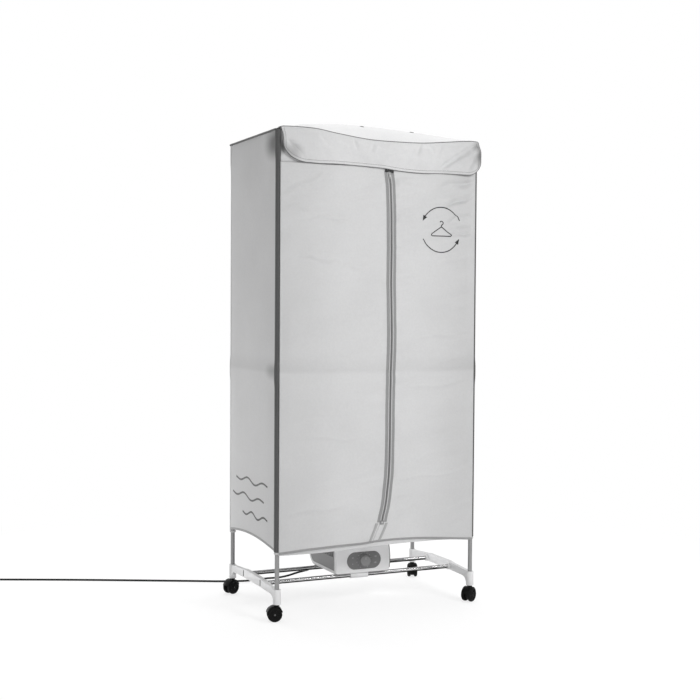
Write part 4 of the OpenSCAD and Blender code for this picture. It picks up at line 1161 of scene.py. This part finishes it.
def flapOut(x, z):
    # the flap's soft waves: none at its sewn top, most at the lower right
    f = flapShape
    drop = clamp((flapTop(x) - z) / f["drop"])
    right = ease((x + 0.1) / 0.45)
    wave = f["wave"] * (0.5 - 0.5 * math.cos(2 * math.pi * (x * 3.1 + 0.25))) * (0.45 + 0.8 * right)
    belly = (f["belly"] + 1.6 * mm * right) * math.sin(math.pi * drop) ** 1.1
    curl = f["curl"] * ease((x - 0.24) / 0.10) * drop ** 1.6
    coarse, fine = f["crumple"]
    crumple = coarse * ripple(x * 10 + z * 8, z * 17, 3.9) + fine * ripple(x * 34, z * 40, 8.8)
    folds = f["creaseGain"] * sum(creaseAt(x, z, *crease) for crease in f["creases"])
    hang = wave * math.sin(math.pi * 0.86 * drop) + 1.8 * mm * drop
    return max(0.0, belly + curl + hang + (crumple + folds) * ease(drop * 5) * (1 - 0.5 * drop ** 6))


def flapPoint(x, z, lift=0.0):
    return Vector((x, flapShape["backY"] - 1.3 * mm - max(0.0, flapOut(x, z)) - lift, z))


def flapAt(u, v, inset=0.0, lift=0.0):
    # u runs along the flap, v from its lower edge to its sewn top
    f = flapShape
    t = 2 * u - 1
    t = math.copysign(1 - (1 - abs(t)) ** 1.35, t) if abs(t) > 0.6 else t * (1 - 0.4 ** 1.35) / 0.6
    x = f["endLeft"] + inset + (f["endRight"] - f["endLeft"] - 2 * inset) * (t + 1) / 2
    low = flapLow(x) + inset
    z = low + (flapTop(x) - 1.2 * mm - low) * v
    stretch = (flapEnd(1, z) - f["endRight"]) if x > 0 else (flapEnd(-1, z) - f["endLeft"])
    x += stretch * ease((abs(x) - 0.22) / 0.125)
    return flapPoint(x, z, lift)


def addFlap():
    f = flapShape
    piece = clothSheet("frontFlap", 330, 50, flapAt, (0.69, 0.105), 1.2 * mm)
    settle(piece, "flapCloth", None, None, ["front_flap"], "cover_cloth")
    outline = [flapAt(0, v / 14) for v in range(14, 0, -1)]
    outline += [flapAt(k / 160, 0) for k in range(161)]
    outline += [flapAt(1, v / 14) for v in range(1, 15)]
    edge = tubeAlong("flapPiping", [p + Vector((0, 0.5 * mm, 0)) for p in outline], f["piping"], 2)
    settle(edge, "pipingCloth", None, 60, [], "binding_cloth")
    inner = [flapAt(0, v / 14, f["stitchIn"], 0.15 * mm) for v in range(13, 0, -1)]
    inner += [flapAt(k / 300, 0, f["stitchIn"], 0.15 * mm) for k in range(301)]
    inner += [flapAt(1, v / 14, f["stitchIn"], 0.15 * mm) for v in range(1, 14)]
    stitches = stitchRow("flapStitches", inner, f["stitchPitch"])
    settle(stitches, "threadGrey", None, 40)
    for part in (piece, edge, stitches):
        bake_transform(part)
    print("flap hung")


def stitchRow(name, line, pitch):
    # single stitches along a line on the front
    stitch = lump("stitch", (2.6 * mm, 0.6 * mm, 0.8 * mm))
    places, carried = [], 0.0
    for a, b in zip(line, line[1:]):
        gap = (b - a).length
        while gap > 1e-9 and carried <= gap:
            turn = (b - a).to_track_quat("X", "Z").to_matrix().to_4x4()
            places.append(Matrix.Translation(a.lerp(b, carried / gap)) @ turn)
            carried += pitch
        carried -= gap
    return repeated(name, stitch, places)


addSurround()
addDoors()
addZip()
addFlap()


# ---- floor of the cover ----

trayShape = {
    "z": 0.2058,
    "reach": 0.10,                 # the floor rises over this width to the hem it is sewn to
    "postX": 0.331, "postY": 0.195, "unitY": -0.0925,
    "hemX": 0.349, "hemY": 0.213, "firm": 0.03, "sag": 1.2 * mm,
    "x": [-0.3485, -0.331, -0.25, -0.17, -0.0925, 0.003, 0.0985, 0.17, 0.25, 0.331, 0.3485],
    "y": [-0.2125, -0.195, -0.145, -0.0925, 0.019, 0.1315, 0.165, 0.195, 0.2125],
}


def addTray():
    # the cover's floor panel: open over the blower and at the posts
    t = trayShape

    def nearest(values, share):
        return values[round(share * (len(values) - 1))]

    def place(u, v):
        return Vector((nearest(t["x"], u), nearest(t["y"], v), t["z"]))

    panel = clothSheet("coverFloor", len(t["x"]) - 1, len(t["y"]) - 1, place, (0.70, 0.43), 0)
    pick(panel)
    bpy.context.tool_settings.mesh_select_mode = (False, False, True)
    low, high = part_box("unit_shell")
    for face in panel.data.polygons:
        x, y = face.center.x, face.center.y
        overUnit = low.x < x < high.x and t["unitY"] < y < high.y
        face.select = overUnit or (abs(x) > t["postX"] and abs(y) > t["postY"])
    bpy.ops.object.mode_set(mode="EDIT")
    bpy.ops.mesh.delete(type="FACE")
    bpy.ops.object.mode_set(mode="OBJECT")
    edited(panel, (bpy.ops.mesh.subdivide, {"number_cuts": 5}))
    for vertex in panel.data.vertices:
        x, y = vertex.co.x, vertex.co.y
        inside = ease((t["hemX"] - abs(x)) / t["firm"]) * ease((t["hemY"] - abs(y)) / t["firm"])
        vertex.co.z -= (t["sag"] + 1.0 * mm * ripple(x * 9, y * 9, 1.3)) * inside
        toSide, toFront, toBack = t["x"][-1] - abs(x), y - t["y"][0], t["y"][-1] - y
        hems = ((toSide, hemRise(y / outY / 2 + 0.5, coverShape["sideHem"])),
                (toFront, smoothAt(doorShape["bandLow"], x) + 1.5 * mm),
                (toBack, hemRise(x / outX / 2 + 0.5, coverShape["backHem"])))
        vertex.co.z += max((hem - t["z"]) * max(0.0, 1 - away / t["reach"]) for away, hem in hems)
    apply(panel, "SOLIDIFY", thickness=1.0 * mm, offset=1)
    settle(panel, "insideCloth", "cabinet", 50, ["cover_floor"], "cover_cloth")
    print("floor panel in")


addTray()


# ---- prints: a ring of two arrows with a hanger, and three lines of air on the side ----

printShape = {
    "ringCentre": (0.212, 1.212),
    "ringRadius": 0.072,
    "ringLine": 3.2 * mm,
    "arcs": [(25, 145), (205, 325)],        # degrees, each from its foot to its head
    "hangerLine": 3.0 * mm,
    "hanger": [(-34, -13), (-36, -17), (-33, -20), (33, -20), (36, -17), (34, -13), (2, 8), (0, 10), (-2, 8),
               (-34, -13)],
    "hook": [(0, 9), (0, 14), (5, 18), (6.5, 22.5), (3.5, 27), (-1.5, 27.5), (-5, 24)],
    "airHeights": [0.405, 0.352, 0.299],
    "airSpans": [(-0.150, 0.135), (-0.120, 0.170), (-0.150, 0.070)],
    "airWave": 8.5 * mm,
    "airLine": 6.0 * mm,
}


def inkLine(points, width, surface, shrink=False):
    # a printed line on cloth: points are places on the cloth, surface lifts them onto it
    count = len(points) - 1

    def place(u, v):
        i = min(count, round(u * count))
        a, b = points[max(0, i - 1)], points[min(count, i + 1)]
        along = (b - a).normalized()
        across = Vector((-along.y, along.x))
        wide = width * (1.02 - u) if shrink else width
        return surface(points[i] + across * (v - 0.5) * wide)

    return clothSheet("inkLine", count, 2, place, (0.1, 0.01), 0)


def printed(name, lines, body):
    ink = joined(name, lines)
    apply(ink, "SOLIDIFY", thickness=0.12 * mm, offset=0)
    settle(ink, "printInk", body, 60)


def addFrontPrint():
    p = printShape
    centre = Vector(p["ringCentre"])

    def surface(point):
        return doorPoint(point.x, point.y, 0.25 * mm)

    def onRing(degrees):
        a = math.radians(degrees)
        return centre + p["ringRadius"] * Vector((math.cos(a), math.sin(a)))

    lines = []
    for start, end in p["arcs"]:
        lines.append(inkLine([onRing(start + (end - start) * k / 40) for k in range(41)],
                             p["ringLine"], surface))
        tip, back = onRing(end + 13), onRing(end - 1)
        lines.append(inkLine([back.lerp(tip, k / 6) for k in range(7)], 15 * mm, surface, True))
    for shape in (p["hanger"], p["hook"]):
        knots = [centre + Vector(point) * mm for point in shape]
        points = [a.lerp(b, k / 8) for a, b in zip(knots, knots[1:]) for k in range(8)] + [knots[-1]]
        lines.append(inkLine(points, p["hangerLine"], surface))
    printed("frontPrint", lines, "right_door")


def addSidePrint():
    p = printShape

    def surface(point):
        where = sidePoint(-1, point.x, point.y)
        return where - Vector((0.25 * mm, 0, 0))

    lines = []
    for z, (start, end) in zip(p["airHeights"], p["airSpans"]):
        span = start - end
        points = [Vector((start - span * k / 60, z + p["airWave"] * math.sin(4 * math.pi * k / 60)
                          * math.sin(math.pi * k / 60) ** 0.4)) for k in range(61)]
        lines.append(inkLine(points, p["airLine"], surface))
    printed("sidePrint", lines, "cabinet")


addFrontPrint()
addSidePrint()
print("prints laid")


# ---- base: collars, brackets, casters ----

collarShape = {"profile": [(7.1, 0), (9.6, 0), (10.2, 0.8), (10.2, 5.0), (9.4, 6.2), (7.1, 6.2)], "z": 0.2062}


def addCollars():
    rings, (px, py) = [], coverShape["post"]
    for x in (-px, px):
        for y in (-py, py):
            profile = collarShape["profile"] + collarShape["profile"][:1]
            rings.append(turned("collar", profile, (0, 0, 1), (x, y, collarShape["z"]), 32))
    settle(joined("postCollars", rings), "collarPlastic", "cabinet", 40)


bracketShape = {
    "faceX": 0.3467,               # flush with the beam's outer face
    "slotY": (-0.077, 0.077),
    "slotZ": 0.0930,
    "slot": (4.4 * mm, 1.8 * mm, 19.0 * mm),
}


def addBrackets():
    for side in ("left", "right"):
        node = "end_bracket_" + side
        bracket = softCopy("endBracket" + side.title(), node, 1.3 * mm, 3)
        settle(bracket, "bracketPlastic", "cabinet", 40, [node], "bracket_plastic")
    # dark inserts flush in the beam's slots: painted shadow in the slot openings
    tongues = []
    for side in (-1, 1):
        for y in bracketShape["slotY"]:
            x, (wide, deep, tall) = side * bracketShape["faceX"], bracketShape["slot"]
            tongue = block("tongue", (x - deep / 2, y - wide / 2, bracketShape["slotZ"] - tall / 2),
                           (x + deep / 2, y + wide / 2, bracketShape["slotZ"] + tall / 2))
            soften(tongue, 0.4 * mm, 2)
            tongues.append(tongue)
    settle(joined("slotShadowInserts", tongues), "slotShade", "cabinet", 40)


casterShape = {
    "headings": {"fl": 165, "fr": 210, "bl": 205, "br": 245},
    "sides": {"fl": (-1, -1), "fr": (1, -1), "bl": (-1, 1), "br": (1, 1)},
    "trail": 0.007,
    "radius": 0.023,
    "wheelIn": 5.8,
    # radius and distance from the inner face, in millimetres
    "wheel": [(3.05, 0.0), (19.5, 0.0), (21.8, 1.0), (22.8, 3.0), (23.0, 5.4), (22.9, 7.2), (22.0, 9.6),
              (19.9, 11.4), (17.4, 12.0), (16.6, 11.4), (16.2, 10.2), (9.2, 9.7), (8.2, 11.0), (6.2, 11.9),
              (3.05, 12.0), (3.05, 0.0)],
    "spokes": 6,
    "spoke": ((8.6 * mm, -1.3 * mm, 9.2 * mm), (17.0 * mm, 1.3 * mm, 11.3 * mm)),   # its two corners
}


def addWheels():
    c = casterShape
    px, py = coverShape["post"]
    for key, (sideX, sideY) in c["sides"].items():
        turn = math.radians(c["headings"][key])
        hub = Vector((sideX * px + c["trail"] * math.cos(turn), sideY * py + c["trail"] * math.sin(turn),
                      c["radius"]))
        across = Vector((-math.sin(turn), math.cos(turn), 0))
        parts = []
        for side in (-1, 1):
            centre = hub + side * c["wheelIn"] * mm * across
            parts.append(turned("wheel", c["wheel"], side * across, centre, 56))
            spoke = block("spoke", *c["spoke"])
            face = Matrix.Translation(centre) @ facing(side * across)
            places = [face @ Matrix.Rotation(2 * math.pi * k / c["spokes"], 4, "Z")
                      for k in range(c["spokes"])]
            parts.append(repeated("spokes", spoke, places))
        settle(joined("wheelPair_" + key, parts), "casterTyre", "wheels_" + key, 35,
               ["caster_wheels_" + key], "caster_wheel")
        housing = softCopy("casterHood_" + key, "caster_housing_" + key, 0.7 * mm, 2)
        settle(housing, "casterPlastic", "caster_" + key, 40, ["caster_housing_" + key], "caster_black")
    print("casters built")


addCollars()
addBrackets()
addWheels()


# ---- blower ----

unitShape = {
    "frontRadius": 0.008, "frontDeep": 6 * mm,
    "insetWide": 0.122, "insetTall": 0.057, "insetDeep": 2.0 * mm,
    "insetCentre": (0.008, 0.139),          # and the knob's
    "bulge": (0.140, 0.044, 4.2 * mm),      # middle height, half its height, most
    # radius of the thin dark cord along the front's right edge, and how far it stops short of the ends
    "seam": 1.4 * mm, "edgeLineEnds": 9 * mm,
    "filter": ((0.010, 0.125), (0.045, 0.118)),  # along Y and Z from the side panel's low corner
}


def oblong(name, centre, wide, tall, low, high):
    # a stadium-shaped block standing along Y
    piece = primitive(name, bpy.ops.mesh.primitive_cylinder_add, vertices=48, radius=tall / 2,
                      depth=high - low, location=(centre[0], (low + high) / 2, centre[1]),
                      rotation=(math.pi / 2, 0, 0))
    bpy.ops.object.transform_apply(location=True, rotation=True, scale=True)
    for vertex in piece.data.vertices:
        fromMiddle = vertex.co.x - centre[0]
        if abs(fromMiddle) > weldGap:
            vertex.co.x += math.copysign((wide - tall) / 2, fromMiddle)
    return piece


def unitBulge(z):
    # the right end of the front is a little barrel shaped
    middle, half, most = unitShape["bulge"]
    return most * max(0.0, 1 - ((z - middle) / half) ** 2)


def editEdges(piece, wanted, step, **settings):
    # one edit-mode step on the edges whose two ends pass a test
    pick(piece)
    bpy.ops.object.mode_set(mode="EDIT")
    bpy.ops.mesh.select_mode(type="EDGE")
    bpy.ops.mesh.select_all(action="DESELECT")
    bpy.ops.object.mode_set(mode="OBJECT")
    for edge in piece.data.edges:
        edge.select = wanted(*(piece.data.vertices[k].co for k in edge.vertices))
    bpy.ops.object.mode_set(mode="EDIT")
    step(**settings)
    bpy.ops.object.mode_set(mode="OBJECT")


def addUnitFront():
    u = unitShape
    low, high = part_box("unit_front")
    panel = block("unitFront", low, (high.x, low.y + u["frontDeep"], high.z))
    editEdges(panel, lambda a, b: abs(a.y - b.y) > 0.1 * mm, bpy.ops.mesh.bevel,
              offset=u["frontRadius"], segments=8, affect="EDGES")
    editEdges(panel, lambda a, b: min(a.x, b.x) > high.x - 0.1 * mm and abs(a.z - b.z) > 30 * mm,
              bpy.ops.mesh.subdivide, number_cuts=14)
    for vertex in panel.data.vertices:
        if vertex.co.x > high.x - u["frontRadius"] * 0.5:
            vertex.co.x += unitBulge(vertex.co.z)
    cutter = oblong("cutter", u["insetCentre"], u["insetWide"], u["insetTall"], low.y - 5 * mm,
                    low.y + u["insetDeep"])
    apply(panel, "BOOLEAN", operation="DIFFERENCE", object=cutter, solver="EXACT")
    bpy.data.objects.remove(cutter)
    soften(panel, 1.3 * mm, 3, 50)
    settle(panel, "unitPlastic", "cabinet", 35, ["unit_front"], "unit_plastic")
    # a thin dark cord along the right edge of the front
    ends = u["edgeLineEnds"]
    edgeLinePath = [Vector((high.x + unitBulge(z) - 0.3 * mm, low.y + 0.5 * mm, z))
                for z in [low.z + ends + (high.z - low.z - 2 * ends) * k / 24 for k in range(25)]]
    settle(tubeAlong("unitEdgeLine", edgeLinePath, u["seam"], 2), "clockPlastic", "cabinet", 40)


dialShape = {
    "ticks": 13,
    "sweep": 300,
    "radius": 25.2 * mm,
    "tick": (0.9 * mm, 0.4 * mm, 3.0 * mm),
    "numbers": ["0", "60", "120", "180"],
    "numberRadius": 0.0405,
    "numberSize": 6.2 * mm,
}


def addControl():
    u, d = unitShape, dialShape
    low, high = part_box("control_plate")
    plate = oblong("controlPlate", u["insetCentre"], u["insetWide"] - 0.8 * mm, u["insetTall"] - 0.8 * mm,
                   low.y, high.y)
    soften(plate, 0.35 * mm, 2)
    settle(plate, "insetPlastic", "cabinet", 35, ["control_plate"], "control_grey")
    mark = lump("tick", d["tick"])
    places = []
    for k in range(d["ticks"]):
        angle = math.radians(-d["sweep"] / 2 + d["sweep"] * k / (d["ticks"] - 1))
        seat = (u["insetCentre"][0] + d["radius"] * math.sin(angle), low.y - 0.05 * mm,
                u["insetCentre"][1] + d["radius"] * math.cos(angle))
        places.append(Matrix.Translation(seat) @ Matrix.Rotation(angle, 4, "Y"))
    settle(repeated("dialTicks", mark, places), "markInk", "cabinet", 35)
    labels = []
    for number, (side, lift) in zip(d["numbers"], ((-1, -0.4), (-1, 0.4), (1, 0.4), (1, -0.4))):
        label = primitive("label", bpy.ops.object.text_add, rotation=(math.pi / 2, 0, 0))
        label.data.body = number
        label.data.size = d["numberSize"]
        label.data.align_x = label.data.align_y = "CENTER"
        label.data.extrude = 0.08 * mm
        label.location = (u["insetCentre"][0] + side * d["numberRadius"], low.y - 0.05 * mm,
                          u["insetCentre"][1] + lift * d["radius"])
        pick(label)
        bpy.ops.object.convert(target="MESH")
        labels.append(bpy.context.object)
    settle(joined("dialNumbers", labels), "markInk", "cabinet", 35)
    print("control plate marked")


knobShape = {
    "profile": [(0, 0), (20.6, 0), (21, 0.4), (21, 1.6), (20.4, 2.4), (19.2, 2.8), (18.8, 4), (18.2, 11.4),
                (17.4, 13), (15.8, 13.8), (13, 14), (0, 13.6)],
    "ribs": 28,
    "rib": ((-0.7 * mm, 3.4 * mm, 18.0 * mm), (0.7 * mm, 12.2 * mm, 19.2 * mm)),    # its two corners
    "pointer": (1.5 * mm, 0.6 * mm, 8.0 * mm),
    "pointerAt": (13.4 * mm, 4 * mm),       # out from the plate, and up from the middle
}


def addKnob():
    u, k = unitShape, knobShape
    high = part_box("timer_knob")[1]
    centre = Vector((u["insetCentre"][0], high.y, u["insetCentre"][1]))
    body = turned("knob", k["profile"], (0, -1, 0), centre, 64)
    rib = block("rib", *k["rib"])
    places = [Matrix.Translation(centre) @ Matrix.Rotation(math.pi, 4, "Z")
              @ Matrix.Rotation(2 * math.pi * n / k["ribs"], 4, "Y") for n in range(k["ribs"])]
    ribs = repeated("ribs", rib, places)
    settle(joined("timerKnob", [body, ribs]), "knobPlastic", "knob", 35, ["timer_knob"], "knob_grey")
    w, t, h = k["pointer"]
    foot = centre + Vector((0, -k["pointerAt"][0], k["pointerAt"][1]))
    pointer = block("knobPointer", foot + Vector((-w / 2, -0.6 * mm - t, 0)), foot + Vector((w / 2, 0, h)))
    soften(pointer, 0.25 * mm, 2)
    settle(pointer, "markInk", "knob", 40)
    print("knob turned")


def addUnitShell():
    shell = softCopy("unitShell", "unit_shell", 1.0 * mm, 3, 40)
    settle(shell, "shellPlastic", "cabinet", 35, ["unit_shell"], "unit_plastic")
    clips = softCopy("rodClips", "rod_clips", 0.6 * mm, 2)
    settle(clips, "unitPlastic", "cabinet", 35, ["rod_clips"], "unit_plastic")
    addFilters()


def addFilters():
    # the dust filter behind each side panel's slots
    low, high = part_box("side_grilles")
    (y0, y1), (z0, z1) = unitShape["filter"]
    sheets = []
    for x in (low.x + 2.5 * mm, high.x - 2.5 * mm):
        sheet = block("filter", (x - 0.4 * mm, low.y + y0, low.z + z0),
                      (x + 0.4 * mm, low.y + y1, low.z + z1))
        soften(sheet, 0.2 * mm, 1)
        sheets.append(sheet)
    settle(joined("dustFilters", sheets), "sidePanel", "cabinet", 40)


addUnitFront()
addControl()
addKnob()
addUnitShell()


# ---- the frame's own pieces, each with its finish ----

nodeFinishes = {
    "tubePaint": ["lower_posts"],
    "innerTube": ["upper_posts", "mid_side_rails", "mid_cross_rails", "top_side_rails"],
    "jointPlastic": ["mid_connectors", "top_connectors", "hanging_rod_hooks", "rod_plugs"],
    "chromePlate": ["base_rods", "hanging_rods"],
    "axleSteel": ["caster_axle_fl", "caster_axle_fr", "caster_axle_bl", "caster_axle_br", "timer_shaft"],
    "sidePanel": ["side_grilles"],
    "grillePlastic": ["outlet_grille"],
    "clockPlastic": ["timer", "fan_motor"],
    "fanPlastic": ["impeller"],
    "heaterSteel": ["heater_frame"],
    "heaterFins": ["heating_element"],
    "screwSteel": ["unit_screws"],
}


def dressFrame():
    for finish, names in nodeFinishes.items():
        for name in names:
            mesh = nodes[name].data
            mesh.materials.clear()
            mesh.materials.append(finishes[finish])
            pick(nodes[name])
            bpy.ops.object.shade_smooth_by_angle(angle=math.radians(35))


dressFrame()
print("frame dressed")


# ---- studio ----

studio = {
    "ambient": 0.50,
    "lights": [
        {"name": "key", "place": (1.9, -3.7, 3.0), "aim": (0, 0, 0.8), "size": 1.6, "power": 87},
        {"name": "low", "place": (-1.7, -3.1, 0.4), "aim": (0, 0, 0.4), "size": 1.0, "power": 14},
        {"name": "fill", "place": (-1.2, 1.5, 0.34), "aim": (-0.35, 0.1, 0.55), "size": 0.5, "power": 10},
        {"name": "over", "place": (0.3, 0.9, 3.4), "aim": (0, -0.1, 0.2), "size": 2.4, "power": 45},
        {"name": "inner", "place": (0.02, 0.02, 0.075), "aim": (0.34, 0.03, 0.11), "size": 0.09,
         "power": 0.11, "spread": 100},
    ],
    # dark cards that only a gloss sees: middle, width, height, and how it leans
    "cards": [((1.5, -3.0, 1.4), 5.0, 1.9, 90), ((1.6, -0.6, 3.4), 4.0, 2.2, 0),
              ((0.15, -0.03, 0.004), 1.3, 0.36, 0)],
    "floorTone": 0.80,
    "seenTone": 0.30,
    "floorGlow": 0.745,
    "floorFadeFrom": 0.75,
    "floorFadeTo": 1.9,
}


def cameraShare(tree):
    # 1 for rays that the eye, a gloss or a glass sends, 0 for light that bounces
    path = addNode(tree, "LightPath").outputs
    seen = calc(tree, "MAXIMUM", path["Is Camera Ray"], path["Is Glossy Ray"])
    return calc(tree, "MAXIMUM", seen, path["Is Transmission Ray"])


def addCards():
    material = blank("darkCard", {"Base Color": grey(0.01), "Roughness": 1.0})[0]
    for k, (middle, wide, tall, lean) in enumerate(studio["cards"]):
        card = primitive("card" + str(k), bpy.ops.mesh.primitive_plane_add, size=1, location=middle,
                         rotation=(math.radians(lean), 0, 0))
        card.scale = (wide, tall, 1)
        card.data.materials.append(material)
        for eye in ("camera", "diffuse", "transmission", "volume_scatter", "shadow"):
            setattr(card, "visible_" + eye, False)
        card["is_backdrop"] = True


def addStudio():
    s = studio
    world = bpy.data.worlds.new("studio")
    bpy.context.scene.world = world
    world.use_nodes = True
    tree = world.node_tree
    background = tree.nodes["Background"]
    background.inputs["Color"].default_value = (1, 1, 1, 1)
    level = mapped(tree, cameraShare(tree), 0.0, 1.0, s["ambient"], 1.0)
    tree.links.new(level, background.inputs["Strength"])
    for lamp in s["lights"]:
        data = bpy.data.lights.new(lamp["name"], "AREA")
        data.shape = "DISK"
        data.size = lamp["size"]
        data.energy = lamp["power"]
        data.spread = math.radians(lamp.get("spread", 180))
        light = linked(lamp["name"], data)
        light.location = lamp["place"]
        aim = Vector(lamp["aim"]) - Vector(lamp["place"])
        light.rotation_euler = aim.to_track_quat("-Z", "Y").to_euler()
    addCards()
    floor = primitive("floor", bpy.ops.mesh.primitive_plane_add, size=30)
    material = bpy.data.materials.new("paleFloor")
    material.use_nodes = True
    tree = material.node_tree
    tree.nodes.clear()
    plain = addNode(tree, "BsdfDiffuse", {"Color": grey(s["floorTone"])})
    glow = addNode(tree, "Emission", {"Color": (1, 1, 1, 1), "Strength": s["floorGlow"]})
    seenPlain = addNode(tree, "BsdfDiffuse", {"Color": grey(s["seenTone"])})
    lit = addNode(tree, "AddShader", {0: seenPlain.outputs[0], 1: glow.outputs[0]})
    white = addNode(tree, "Emission", {"Color": (1, 1, 1, 1), "Strength": 1.0})
    where = addNode(tree, "TexCoord").outputs["Object"]
    away = addNode(tree, "VectorMath", {0: where}, operation="LENGTH").outputs["Value"]
    fade = ramp(tree, away, s["floorFadeFrom"], s["floorFadeTo"], 0.0, 1.0)
    near = addNode(tree, "MixShader", {0: fade, 1: lit.outputs[0], 2: white.outputs[0]})
    seen = addNode(tree, "MixShader", {0: cameraShare(tree), 1: plain.outputs[0],
                   2: near.outputs[0]})
    out = addNode(tree, "OutputMaterial", {"Surface": seen.outputs[0]})
    tree.nodes.active = out
    floor.data.materials.append(material)
    floor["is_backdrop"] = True
    bpy.context.scene.view_settings.view_transform = "Standard"
    print("studio lit")


addStudio()

sizes = {"frame": frameBounds, "visual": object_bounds()}
{key: [list(corner) for corner in box] for key, box in sizes.items()}
